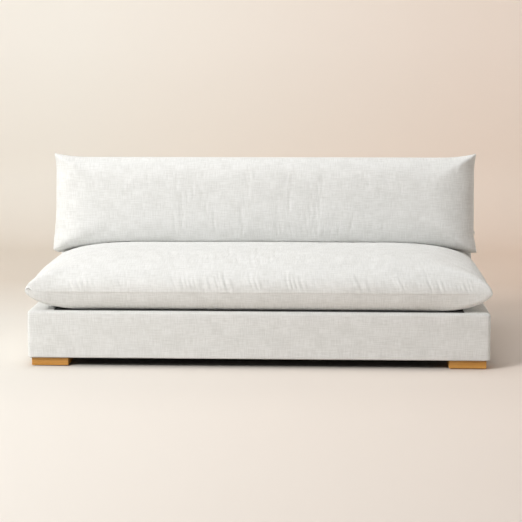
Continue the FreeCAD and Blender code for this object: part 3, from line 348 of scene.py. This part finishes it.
def plastic(name, colour):
    """Moulded plastic with a fine satin grain."""
    material, tree, shader = new_material(name, 0.45)
    place = tree.nodes.new("ShaderNodeTexCoord").outputs["Object"]
    grain = noise(tree, place, (0.0008, 0.0008, 0.0008), 2.0)
    darker = [0.9 * part for part in colour]
    tree.links.new(ramp(tree, grain, [(0.3, darker), (0.7, colour)]), shader.inputs["Base Color"])
    bump(tree, shader, grain, 0.0002, 0.25)
    return material


def painted_deck_shade(tree):
    """Painted shade: dark on the deck under the seat cushion, 1 elsewhere."""
    low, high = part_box("base_cover")
    place = tree.nodes.new("ShaderNodeTexCoord").outputs["Object"]
    axes = node(tree, "ShaderNodeSeparateXYZ", Vector=place).outputs
    across = maths(tree, "ABSOLUTE", axes["X"])
    on_top = maths(tree, "GREATER_THAN", axes["Z"], high.z - DECK_DEPTH)
    between = maths(tree, "LESS_THAN", across, high.x - DECK_INSET[0])
    behind = maths(tree, "GREATER_THAN", axes["Y"], low.y + DECK_INSET[1])
    deck = maths(tree, "MULTIPLY", maths(tree, "MULTIPLY", on_top, between), behind)
    return maths(tree, "SUBTRACT", 1.0, maths(tree, "MULTIPLY", deck, DECK_PAINTED_SHADE_STRENGTH))


def make_materials():
    """One material for each of the record's slots, and the base's with painted shade on its deck."""
    return {
        "cover_fabric": slub_linen("cover_fabric", *LINEN),
        # the base's fabric has painted shade on the deck under the seat cushion
        "base_fabric_painted_shade": slub_linen("base_fabric_painted_shade", *LINEN, shade=painted_deck_shade),
        "casing_cloth": plain_cloth("casing_cloth", (0.86, 0.85, 0.80), (0.76, 0.75, 0.70), 0.001),
        "fibre_fill": plain_cloth("fibre_fill", (0.90, 0.90, 0.88), (0.78, 0.78, 0.76), 0.004),
        "foam": plain_cloth("foam", (0.85, 0.79, 0.58), (0.72, 0.66, 0.46), 0.0015),
        "spring_felt": plain_cloth("spring_felt", (0.24, 0.23, 0.22), (0.10, 0.10, 0.10), 0.002),
        "pad_felt": plain_cloth("pad_felt", (0.045, 0.030, 0.022), (0.018, 0.012, 0.010), 0.001),
        "dust_cloth": plain_cloth("dust_cloth", (0.022, 0.018, 0.016), (0.010, 0.008, 0.007), 0.0012),
        "webbing": plain_cloth("webbing", (0.32, 0.27, 0.19), (0.20, 0.16, 0.10), 0.0015),
        "oak": timber("oak", (0.74, 0.385, 0.085), (0.53, 0.235, 0.042), 0.006, 0.42),
        "frame_wood": timber("frame_wood", (0.62, 0.44, 0.23), (0.44, 0.28, 0.13), 0.009, 0.7),
        "fibreboard": plain_cloth("fibreboard", (0.28, 0.17, 0.09), (0.20, 0.12, 0.06), 0.002, 0.75),
        "spring_steel": metal("spring_steel", (0.20, 0.21, 0.23), 0.45),
        "zinc_steel": metal("zinc_steel", (0.62, 0.64, 0.66), 0.35),
        "clip_plastic": plastic("clip_plastic", (0.70, 0.70, 0.66)),
        "zip_tape": plain_cloth("zip_tape", (0.74, 0.72, 0.67), (0.60, 0.58, 0.53), 0.0008),
        "zip_coil": plastic("zip_coil", (0.74, 0.72, 0.67)),
        "zip_metal": metal("zip_metal", (0.60, 0.59, 0.57), 0.3),
    }


def dress_frame(materials):
    """Gives every CAD node the material of its slot."""
    for entry in frame["record"]["subparts"]:
        slots = frame["nodes"][entry["node"]].data.materials
        slots.clear()
        slots.append(materials[entry["material_slot"]])


# Soft mesh

def tree_of(item, place=None):
    """Search tree of an object's faces, in the axes of a place."""
    back = (place or Matrix()).inverted() @ item.matrix_world
    return BVHTree.FromPolygons([back @ vertex.co for vertex in item.data.vertices],
                                [face.vertices[:] for face in item.data.polygons])


def heights(tree, points, side):
    """Height of a surface over each point, looked for from the given side; none where it misses."""
    found = np.full(points.shape[:-1], np.nan)
    for index in np.ndindex(*points.shape[:-1]):
        hit = tree.ray_cast(Vector((points[index][0], points[index][1], side)), Vector((0, 0, -side)))[0]
        if hit is not None:
            found[index] = hit.z
    return found


def waves(place, seed, shortest, longest, count=14):
    """Uneven ripple along a line, about one high: seeded, so it is the same each run."""
    random = np.random.RandomState(seed)
    total = np.zeros_like(place)
    for _ in range(count):
        length = shortest * (longest / shortest) ** random.rand()
        total += np.sin(2 * np.pi * (place / length + random.rand()))
    return total / math.sqrt(count / 2) / 1.6


def softness(x, y, seed, size):
    """Slow unevenness over a surface, about one high."""
    random = np.random.RandomState(seed)
    total = np.zeros_like(x)
    for _ in range(10):
        angle = random.rand() * math.pi
        length = size * (0.6 + random.rand())
        along = x * math.cos(angle) + y * math.sin(angle)
        total += np.sin(2 * np.pi * (along / length + random.rand()))
    return total / 3.5


def crown_share(inward, power):
    """Share of a crown's height at a share of its run in from the seam."""
    return (1 - (1 - np.clip(inward, 0, 1)) ** power) ** (1 / power)


def flare_share(across, flare):
    """0 along the straight of a side, rising to 1 at the corner."""
    return np.clip((np.abs(across) - (1 - flare)) / flare, 0, 1) ** 2


def grid_steps(counts, crowding):
    """Places from -1 to 1 along both sides of a panel, that crowd towards the seams."""
    places = [np.linspace(-1, 1, count) for count in counts]
    return [np.sign(place) * (1 - (1 - np.abs(place)) ** power) for place, power in zip(places, crowding)]


def panel_plan(steps, half, bow, flare):
    """Grid of a panel seen from above: shares of both sides, and places in metres."""
    u, v = np.meshgrid(*steps, indexing="ij")
    x = u * (half[0] - bow[0] * (1 - flare_share(v, flare[1])))
    y = v * (half[1] - bow[1] * (1 - flare_share(u, flare[0])))
    return u, v, x, y


def cover_level(cover, x, y, side):
    """Height of the CAD cover over a panel's grid, 0 at the seam and softened elsewhere."""
    level = np.nan_to_num(heights(cover, np.stack([x, y], axis=-1), side)) * side
    for _ in range(LEVEL_PASSES):
        level[[0, -1]] = level[:, [0, -1]] = 0
        middle = level[1:-1, 1:-1]
        level[1:-1, 1:-1] = (2 * middle + (level[:-2, 1:-1] + level[2:, 1:-1] + level[1:-1, :-2]
                                           + level[1:-1, 2:]) / 2) / 4
    return level


def grid_normals(points, outward):
    """Unit normals of a grid of points, turned to the outward side."""
    along = np.gradient(points, axis=0)
    across = np.gradient(points, axis=1)
    normals = np.cross(along, across) * outward
    return normals / np.maximum(np.linalg.norm(normals, axis=2, keepdims=True), 1e-12)


def arc_lengths(points, axis):
    """Length along a grid line from its first point."""
    steps = np.linalg.norm(np.diff(points, axis=axis), axis=2)
    start = np.zeros_like(np.take(steps, [0], axis=axis))
    return np.concatenate([start, np.cumsum(steps, axis=axis)], axis=axis)


def seam_distance(points, axis):
    """Distance over the cloth from the nearer of the two seams that an axis ends at."""
    length = arc_lengths(points, axis)
    return np.minimum(length, np.take(length, [-1], axis=axis) - length)


def gathers(points, outward, amount, reach, seed):
    """Small puckers that start at the seams, run straight in from them and fade."""
    moved = points.copy()
    normals = grid_normals(points, outward)
    for axis in (0, 1):
        away = seam_distance(points, axis)
        along = arc_lengths(points, 1 - axis)
        fade = (away / reach * np.exp(1 - away / reach)) ** GATHER_FADE
        first_half = np.arange(points.shape[axis]) < points.shape[axis] / 2
        side = np.where(first_half, 0.0, FAR_SIDE_SHIFT).reshape((-1, 1) if axis == 0 else (1, -1))
        slant = GATHER_SLANT * away * waves(along + side, seed + 5, *SLANT_LENGTHS)
        swell = SWELL_SHARES[0] + SWELL_SHARES[1] * waves(along + side, seed + 9, *SWELL_LENGTHS)
        height = waves(along + side + slant, seed, *GATHER_WIDTHS) * swell
        moved += normals * (amount * fade * height)[..., None]
    return moved


def panel_numbers(rows, columns):
    """Vertex numbers of two panels that share their rim."""
    inner = np.zeros((rows, columns), bool)
    inner[1:-1, 1:-1] = True
    number = np.arange(rows * columns).reshape(rows, columns)
    under = number.copy()
    under[inner] = rows * columns + np.arange(inner.sum())
    return number, under, inner


def closed_mesh(name, top, bottom, place=None):
    """Two panels that share their rim as one closed mesh, with cloth coordinates in metres."""
    number, under, inner = panel_numbers(*top.shape[:2])
    points = np.concatenate([top.reshape(-1, 3), bottom[inner]])
    mesh = bpy.data.meshes.new(name)
    mesh.from_pydata(points, [], np.concatenate([quads(number, False), quads(under, True)]).tolist())
    mesh.transform(place or Matrix())
    flat = [cloth_coordinates(panel).reshape(-1, 2)[quads(number, turned).ravel()]
            for panel, turned in ((top, False), (bottom, True))]
    layer = mesh.uv_layers.new(name="cloth")
    layer.data.foreach_set("uv", np.concatenate(flat).ravel())
    smooth(mesh)
    rim = set(number[~inner].tolist())
    for edge in mesh.edges:
        edge.use_edge_sharp = edge.vertices[0] in rim and edge.vertices[1] in rim
    return add_piece(name, mesh)


def wrinkles(top, bottom, seed):
    """Heights of the wrinkles that a short cloth simulation leaves on both panels.

    The seam is held, the cloth is longer than its seam and pressed out from inside.
    """
    item = closed_mesh("cloth_form", gathers(top, 1, WRINKLE_SEED, WRINKLE_REACH, seed),
                       gathers(bottom, -1, WRINKLE_SEED, WRINKLE_REACH, seed + 1))
    number, under, inner = panel_numbers(*top.shape[:2])
    item.vertex_groups.new(name="seam").add(number[~inner].tolist(), 1.0, "REPLACE")
    cloth = item.modifiers.new("cloth", "CLOTH")
    cloth.point_cache.frame_end = CLOTH_FRAMES
    settings = cloth.settings
    settings.vertex_group_mass = "seam"
    settings.quality = 5
    settings.mass = 0.3
    settings.tension_stiffness = 15
    settings.compression_stiffness = 15
    settings.shear_stiffness = 5
    settings.bending_stiffness = 0.05
    settings.use_pressure = True
    settings.uniform_pressure_force = 4
    settings.effector_weights.gravity = 0
    settings.shrink_min = -CLOTH_GROWTH
    cloth.collision_settings.use_collision = False
    for step in range(1, CLOTH_FRAMES + 1):
        bpy.context.scene.frame_set(step)
    shape = item.evaluated_get(bpy.context.evaluated_depsgraph_get()).data
    points = np.empty(len(shape.vertices) * 3)
    shape.vertices.foreach_get("co", points)
    points = points.reshape(-1, 3)
    bpy.data.objects.remove(item)
    bpy.context.scene.frame_set(1)
    return [crests(top, points[number], 1), crests(bottom, points[under], -1)]


def crests(rest, moved, outward):
    """Movement along the normals, without its broad part and held within the cap."""
    height = np.sum((moved - rest) * grid_normals(rest, outward), axis=2)
    broad = height.copy()
    for _ in range(BROAD_PASSES):
        broad[1:-1] = (broad[:-2] + 2 * broad[1:-1] + broad[2:]) / 4
        broad[:, 1:-1] = (broad[:, :-2] + 2 * broad[:, 1:-1] + broad[:, 2:]) / 4
    return WRINKLE_CAP * np.tanh((height - broad) / WRINKLE_CAP)


def carried(field, steps, new_steps):
    """Field of one grid, read at the places of another."""
    rows = np.stack([np.interp(new_steps[0], steps[0], column) for column in field.T], axis=1)
    return np.stack([np.interp(new_steps[1], steps[1], row) for row in rows])


def outside(points, cover, side):
    """Points brought out to the CAD cover where they lie inside it."""
    points[..., 2] = side * np.fmax(side * points[..., 2], side * heights(cover, points, side) + SKIN)
    return points


def sewn_panels(form, cloth_grid, cover, gather, seed):
    """Both panels of a cushion: its form, the simulation's wrinkles and small gathers at the seams."""
    coarse = grid_steps(cloth_grid, EVEN)
    fine = grid_steps(FINE_GRID, CROWDED)
    lines = wrinkles(*form(coarse), seed)
    panels = []
    for panel, crest, amount, side in zip(form(fine), lines, gather, (1, -1)):
        calm = np.minimum(seam_distance(panel, 0), seam_distance(panel, 1)) / SEAM_CALM
        height = carried(crest, coarse, fine) * np.clip(calm, 0, 1)
        moved = panel + grid_normals(panel, side) * height[..., None]
        gathered = gathers(moved, side, amount, GATHER_REACH, seed + side)
        panels.append(outside(gathered, cover, side))
    return panels


def quads(number, turned):
    """Faces of a grid of vertex numbers."""
    corners = [number[:-1, :-1], number[1:, :-1], number[1:, 1:], number[:-1, 1:]]
    if turned:
        corners = corners[::-1]
    return np.stack(corners, axis=-1).reshape(-1, 4)


def cloth_coordinates(points):
    """Flat coordinates of a panel in metres, from lengths over the cloth."""
    length = arc_lengths(points, 1)
    middle = length[:, length.shape[1] // 2][:, None]
    return np.stack([points[..., 0], length - middle], axis=-1)


def smooth(mesh):
    """Smooth shading on every face."""
    mesh.polygons.foreach_set("use_smooth", [True] * len(mesh.polygons))


def add_piece(name, mesh):
    """Object of a mesh, in the scene."""
    mesh.validate()
    mesh.update()
    item = bpy.data.objects.new(name, mesh)
    bpy.context.scene.collection.objects.link(item)
    return item


def clothe(item, material, body, *nodes):
    """Material, body and CAD nodes of a soft piece."""
    item.data.materials.append(material)
    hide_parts(*nodes)
    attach(item, body)


# Seat cushion

def zip_groove(points, along, across, out, half_length):
    """Draws the rim in along a zip, so that its tape and coil lie in a groove."""
    near = np.clip((ZIP_GROOVE_HALF - np.abs(points[..., across])) / ZIP_GROOVE_EDGE, 0, 1)
    end = half_length + ZIP_GROOVE_END
    inside = np.clip((end - np.abs(points[..., along])) / ZIP_GROOVE_END, 0, 1)
    outer = points[..., out] > points[..., out].max() - ZIP_SIDE
    points[..., out] -= ZIP_GROOVE * near * inside * outer


def make_seat_cushion(materials):
    """Full-width knife-edge cushion with a broad crown, gathered along its seams."""
    low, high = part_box("seat_cushion_cover")
    half = ((high.x - low.x) / 2, (high.y - low.y) / 2)
    place = Matrix.Translation((0, (low.y + high.y) / 2, SEAT_SEAM))
    cover = tree_of(frame["nodes"]["seat_cushion_cover"], place)

    def form(steps):
        """Smooth panels: the CAD cover's, with fuller sides above the seam."""
        u, v, x, y = panel_plan(steps, half, SEAT_BOW, SEAT_FLARE)
        share = crown_share((1 - np.abs(u)) * half[0] / SEAT_TOP_RUN[0], SEAT_TOP_POWERS[0])
        share *= crown_share((1 - np.abs(v)) * half[1] / SEAT_TOP_RUN[1], SEAT_TOP_POWERS[1])
        crown = np.maximum(cover_level(cover, x, y, 1), share * (high.z - SEAT_SEAM))
        unevenness = 0.6 + 0.4 * softness(x, y, SEAT_SEEDS[0], SEAT_PUFF_SIZE)
        crown += SEAT_PUFF * unevenness * crown / crown.max()
        depth = cover_level(cover, x, y, -1)
        return np.stack([x, y, crown], axis=-1), np.stack([x, y, -depth], axis=-1)

    gather = (SEAT_GATHER, SEAT_UNDER_SHARE * SEAT_GATHER)
    upper, lower = sewn_panels(form, CLOTH_GRIDS[0], cover, gather, SEAT_SEEDS[1])
    lower[..., 2] = np.maximum(lower[..., 2], low.z - SEAT_SEAM)
    for panel in (upper, lower):
        zip_groove(panel, 0, 2, 1, SEAT_ZIP_HALF)
    item = closed_mesh("seat_cushion", upper, lower, place)
    clothe(item, materials["cover_fabric"], "seat_cushion", "seat_cushion_cover")
    return item


# Back cushion

def cushion_matrix():
    """Place of the back cushion: its X across, its Y up the lean and its Z towards the front."""
    half = CUSHION_SIZE[1] / 2
    y = CUSHION_FOOT[0] + half * math.sin(LEAN)
    z = CUSHION_FOOT[1] + half * math.cos(LEAN)
    return Matrix.Translation((0, y, z)) @ Matrix.Rotation(math.pi / 2 - LEAN, 4, "X")


def rounded_corner(x, y, radius):
    """Rounds the corner of a grid at its first row and column."""
    aside = 1 - (x - x[0, 0]) / radius
    below = 1 - (y - y[0, 0]) / radius
    near = (aside > 0) & (below > 0)
    keep = np.where(near, np.maximum(aside, below) / np.maximum(np.hypot(aside, below), 1e-9), 1)
    return (np.where(near, x[0, 0] + radius * (1 - aside * keep), x),
            np.where(near, y[0, 0] + radius * (1 - below * keep), y))


def fit_between(points, place, seat):
    """Keeps cushion points above the seat cushion and in front of the back."""
    turn = np.asarray(place.to_3x3())
    world = points @ turn.T + np.asarray(place.translation)
    low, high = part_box("back_cover")
    plane = low.y + (world[..., 2] - low.z) * math.tan(LEAN) - REST_GAP
    world[..., 1] = np.minimum(world[..., 1], plane)
    world[..., 2] = np.fmax(world[..., 2], heights(seat, world, 1) + REST_GAP)
    return (world - np.asarray(place.translation)) @ turn


def make_back_cushion(materials, seat_cushion):
    """Full-width knife-edge cushion that stands on the seat cushion and leans on the back."""
    half = (CUSHION_SIZE[0] / 2, CUSHION_SIZE[1] / 2)
    place = cushion_matrix()
    cover = tree_of(frame["nodes"]["back_cushion_cover"], place)

    def form(steps):
        """Smooth panels: the CAD cover's, with ends that sag outwards and down low down."""
        u, v, x, y = panel_plan(steps, half, CUSHION_BOW, CUSHION_FLARE)
        y = np.where(v < 0, v * half[1], y)
        left_low = (u < 0) & (v < 0)
        x = np.where(left_low, u * (half[0] - CUSHION_BOW[0]), x)
        crown = cover_level(cover, x, y, 1)
        unevenness = 0.6 + 0.4 * softness(x, y, CUSHION_SEEDS[0], CUSHION_PUFF_SIZE)
        crown += CUSHION_PUFF * unevenness * crown / crown.max()
        depth = cover_level(cover, x, y, -1)
        at_end = np.abs(u) ** END_POWER
        low_down = np.clip(-v / SAG_RUN, 0, 1) ** 2 * at_end
        by_zip = np.clip((-v - CUSHION_ZIP_HALF / half[1]) / ZIP_SAG_RUN, 0, 1) * at_end
        x = x + np.where(u < 0, -CUSHION_SAG[0] * low_down, CUSHION_SAG[1] * by_zip)
        y = y - CUSHION_DROOP * low_down * (u < 0)
        x, y = rounded_corner(x, y, CUSHION_CORNER)
        return np.stack([x, y, crown], axis=-1), np.stack([x, y, -depth], axis=-1)

    panels = sewn_panels(form, CLOTH_GRIDS[1], cover, (CUSHION_GATHER, CUSHION_GATHER), CUSHION_SEEDS[1])
    seat = tree_of(seat_cushion)
    for number, panel in enumerate(panels):
        zip_groove(panel, 1, 2, 0, CUSHION_ZIP_HALF)
        panels[number] = fit_between(panel, place, seat)
    item = closed_mesh("back_cushion", *panels, place)
    clothe(item, materials["cover_fabric"], "back_cushion", "back_cushion_cover")


# Upholstered base and back

def axis_steps(low, high, radius, pitch):
    """Places along one axis: close together in the rounded ends, even between them."""
    turn = np.sin(np.linspace(0, math.pi / 2, EDGE_STEPS)) * radius
    between = np.linspace(low + radius, high - radius, max(2, round((high - low) / pitch)))
    return np.concatenate([low + radius - turn[:0:-1], between, high - radius + turn[1:]])


def rounded_box(name, low, high, radius, floor_radius, shape):
    """Closed box of small faces whose edges are rounded, passed through a shape of its own."""
    steps = [axis_steps(low[axis], high[axis], radius, UPHOLSTERY_PITCH) for axis in range(3)]
    numbers = {}
    faces = []

    def corner(*index):
        """Vertex number of a grid place."""
        return numbers.setdefault(index, len(numbers))

    last = [len(step) - 1 for step in steps]
    for axis in range(3):
        first, second = [other for other in range(3) if other != axis]
        for end in (0, last[axis]):
            for i in range(last[first]):
                for j in range(last[second]):
                    index = []
                    for a, b in ((i, j), (i + 1, j), (i + 1, j + 1), (i, j + 1)):
                        place = [0, 0, 0]
                        place[axis], place[first], place[second] = end, a, b
                        index.append(corner(*place))
                    outward = (end > 0) == (axis != 1)
                    faces.append(index if outward else index[::-1])
    grid = np.array([[steps[axis][index[axis]] for axis in range(3)] for index in numbers])
    reach = np.where(grid[:, 2:3] < (low[2] + high[2]) / 2, floor_radius, radius)
    shrink = np.concatenate([np.full((len(grid), 2), radius), reach], axis=1)
    inner = np.clip(grid, np.array(low) + shrink, np.array(high) - shrink)
    away = (grid - inner) / shrink
    length = np.maximum(np.linalg.norm(away, axis=1, keepdims=True), 1e-9)
    points = inner + away / np.maximum(length, 1) * shrink
    normals = away / length
    mesh = bpy.data.meshes.new(name)
    mesh.from_pydata(shape(points, normals), [], faces)
    layer = mesh.uv_layers.new(name="cloth")
    place = np.array([vertex.co for vertex in mesh.vertices])
    for face in mesh.polygons:
        axis = int(np.argmax(np.abs(face.normal)))
        first, second = [other for other in range(3) if other != axis]
        for loop in face.loop_indices:
            point = place[mesh.loops[loop].vertex_index]
            layer.data[loop].uv = (point[first], point[second])
    smooth(mesh)
    return add_piece(name, mesh)


def padding_swell(points, seed):
    """Share of a swell at each point, where padding lies under taut cloth."""
    return 1 + softness(points[:, 0] + points[:, 1], points[:, 2] * 2, seed, SWELL_SIZE)


def make_base(materials):
    """Fabric over the base: taut sides that swell a little, rounded edges."""
    low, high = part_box("base_cover")

    def taut(points, normals):
        """Small swells where padding lies under the cloth."""
        swell = BASE_SWELL * padding_swell(points, BASE_SEED)
        return points + normals * (swell * (1 - np.abs(normals[:, 2])))[:, None]

    item = rounded_box("base_upholstery", low, high, *BASE_EDGES, taut)
    clothe(item, materials["base_fabric_painted_shade"], "frame", "base_cover")


def make_back(materials):
    """Fabric over the leaning back."""
    low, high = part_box("back_cover")
    slope = math.tan(LEAN)

    def leaning(points, normals):
        """Leans the front and leaves the rear upright."""
        share = (high.y - points[:, 1]) / (high.y - low.y)
        swell = BACK_SWELL * padding_swell(points, BACK_SEED)
        moved = points + normals * (swell * np.clip(1 + normals[:, 1], 0, 1))[:, None]
        moved[:, 1] += (points[:, 2] - low.z) * slope * share
        return moved

    item = rounded_box("back_upholstery", low, high, *BACK_EDGES, leaning)
    clothe(item, materials["cover_fabric"], "frame", "back_cover")


# Room, light and camera

def seen_directly(tree):
    """1 for rays from the camera and for those that metal or glass passes on."""
    rays = tree.nodes.new("ShaderNodeLightPath").outputs
    passed_on = maths(tree, "MAXIMUM", rays["Is Glossy Ray"], rays["Is Transmission Ray"])
    return maths(tree, "MAXIMUM", rays["Is Camera Ray"], passed_on)


def stage_material():
    """Warm pale paint, with painted shade towards the right, away from the key light, and where the floor
    meets the wall.

    Far from the sofa it fades into the room's colour. The wall is clear from behind, so that the sofa
    is seen from there too.
    """
    material, tree, shader = new_material("backdrop", 0.9)
    place = tree.nodes.new("ShaderNodeTexCoord").outputs["Object"]
    axes = node(tree, "ShaderNodeSeparateXYZ", Vector=place)
    across = maths(tree, "ADD", maths(tree, "MULTIPLY", axes.outputs["X"], 1 / STAGE_WIDTH), 0.5)
    patches = noise(tree, place, 3 * (STAGE_MOTTLE,))
    mottle = maths(tree, "MULTIPLY", maths(tree, "SUBTRACT", patches, 0.5), 0.1)
    # painted light and shade: lighter on the left, darker and warmer on the right
    painted_light_across = ramp(tree, maths(tree, "ADD", across, mottle), [(0.15, STAGE_LEFT_PAINTED_LIGHT), (0.85, STAGE_RIGHT_PAINTED_SHADE)])
    along = maths(tree, "ADD", axes.outputs["Y"], axes.outputs["Z"])
    run = maths(tree, "MULTIPLY", maths(tree, "ADD", along, STAGE_START), 1 / STAGE_RUN)
    # painted shade along floor and wall, darkest where they meet
    shade = ramp(tree, run, STAGE_PAINTED_SHADE)
    tree.links.new(product(tree, painted_light_across, shade), shader.inputs["Base Color"])
    shader.inputs["Specular IOR Level"].default_value = 0.1
    away = node(tree, "ShaderNodeVectorMath")
    away.operation = "LENGTH"
    join(tree, away.inputs[0], place)
    share = maths(tree, "MULTIPLY", maths(tree, "SUBTRACT", away.outputs["Value"], ROOM_FADE[0]),
                  1 / (ROOM_FADE[1] - ROOM_FADE[0]))
    share = maths(tree, "MINIMUM", maths(tree, "MAXIMUM", share, 0.0), 1.0)
    share = maths(tree, "MULTIPLY", share, seen_directly(tree))
    plain = node(tree, "ShaderNodeEmission", Color=(*ROOM_COLOUR, 1)).outputs["Emission"]
    front = mixed_shader(tree, share, shader.outputs["BSDF"], plain)
    rear = tree.nodes.new("ShaderNodeNewGeometry").outputs["Backfacing"]
    clear = tree.nodes.new("ShaderNodeBsdfTransparent").outputs["BSDF"]
    tree.links.new(mixed_shader(tree, rear, front, clear), tree.nodes["Material Output"].inputs["Surface"])
    return material


def stage_sheet(name, profile, paint):
    """Sheet of the stage along a profile of Y and Z, as wide as the room."""
    points = [(x, y, z) for x in (-ROOM_HALF, ROOM_HALF) for y, z in profile]
    count = len(profile)
    faces = [(i, count + i, count + i + 1, i + 1) for i in range(count - 1)]
    mesh = bpy.data.meshes.new(name)
    mesh.from_pydata(points, [], faces)
    smooth(mesh)
    sheet = add_piece(name, mesh)
    sheet.data.materials.append(paint)


def make_room():
    """Floor that bends up into a plain wall, and more floor behind the wall."""
    profile = [(ROOM_FRONT, 0.0), (WALL_Y - WALL_BEND, 0.0)]
    for step in range(1, BEND_STEPS + 1):
        angle = math.pi / 2 * step / BEND_STEPS
        profile.append((WALL_Y - WALL_BEND + WALL_BEND * math.sin(angle),
                        WALL_BEND - WALL_BEND * math.cos(angle)))
    profile.append((WALL_Y, ROOM_HEIGHT))
    paint = stage_material()
    stage_sheet("room", profile, paint)
    stage_sheet("rear_floor", [(WALL_Y - WALL_BEND, REAR_FLOOR_Z), (ROOM_REAR, REAR_FLOOR_Z)], paint)


def area_light(name, at, towards, size, power, colour):
    """Soft square light."""
    data = bpy.data.lights.new(name, "AREA")
    data.size = size
    data.energy = power
    data.color = colour
    item = bpy.data.objects.new(name, data)
    item.location = at
    item.rotation_euler = (Vector(towards) - Vector(at)).to_track_quat("-Z", "Y").to_euler()
    bpy.context.scene.collection.objects.link(item)


def make_lights():
    """A large soft key from the upper left, a wide top light, a weak fill and a pale world."""
    for name, lamp in LAMPS.items():
        area_light(name, *lamp)
    world = bpy.data.worlds.new("world")
    world.use_nodes = True
    tree = world.node_tree
    background = tree.nodes["Background"]
    background.inputs["Color"].default_value = (*WORLD_COLOUR, 1)
    background.inputs["Strength"].default_value = WORLD_STRENGTH
    seen = tree.nodes.new("ShaderNodeBackground")
    seen.inputs["Color"].default_value = (*ROOM_COLOUR, 1)
    mix = mixed_shader(tree, seen_directly(tree), background.outputs["Background"],
                       seen.outputs["Background"])
    tree.links.new(mix, tree.nodes["World Output"].inputs["Surface"])
    bpy.context.scene.world = world


def make_camera():
    """Camera of the photograph."""
    data = bpy.data.cameras.new("camera")
    data.lens = CAMERA_LENS
    data.sensor_width = CAMERA_SENSOR
    data.clip_end = CAMERA_REACH
    item = bpy.data.objects.new("camera", data)
    item.matrix_world = (Matrix.Translation(CAMERA_AT) @ Matrix.Rotation(CAMERA_TURN, 4, "Z")
                         @ Matrix.Rotation(math.pi / 2 - CAMERA_TILT, 4, "X")
                         @ Matrix.Rotation(CAMERA_ROLL, 4, "Z"))
    bpy.context.scene.collection.objects.link(item)
    bpy.context.scene.camera = item


materials = make_materials()
dress_frame(materials)
make_base(materials)
make_back(materials)
make_back_cushion(materials, make_seat_cushion(materials))
make_room()
make_lights()
make_camera()
bpy.context.scene.view_settings.view_transform = "Standard"
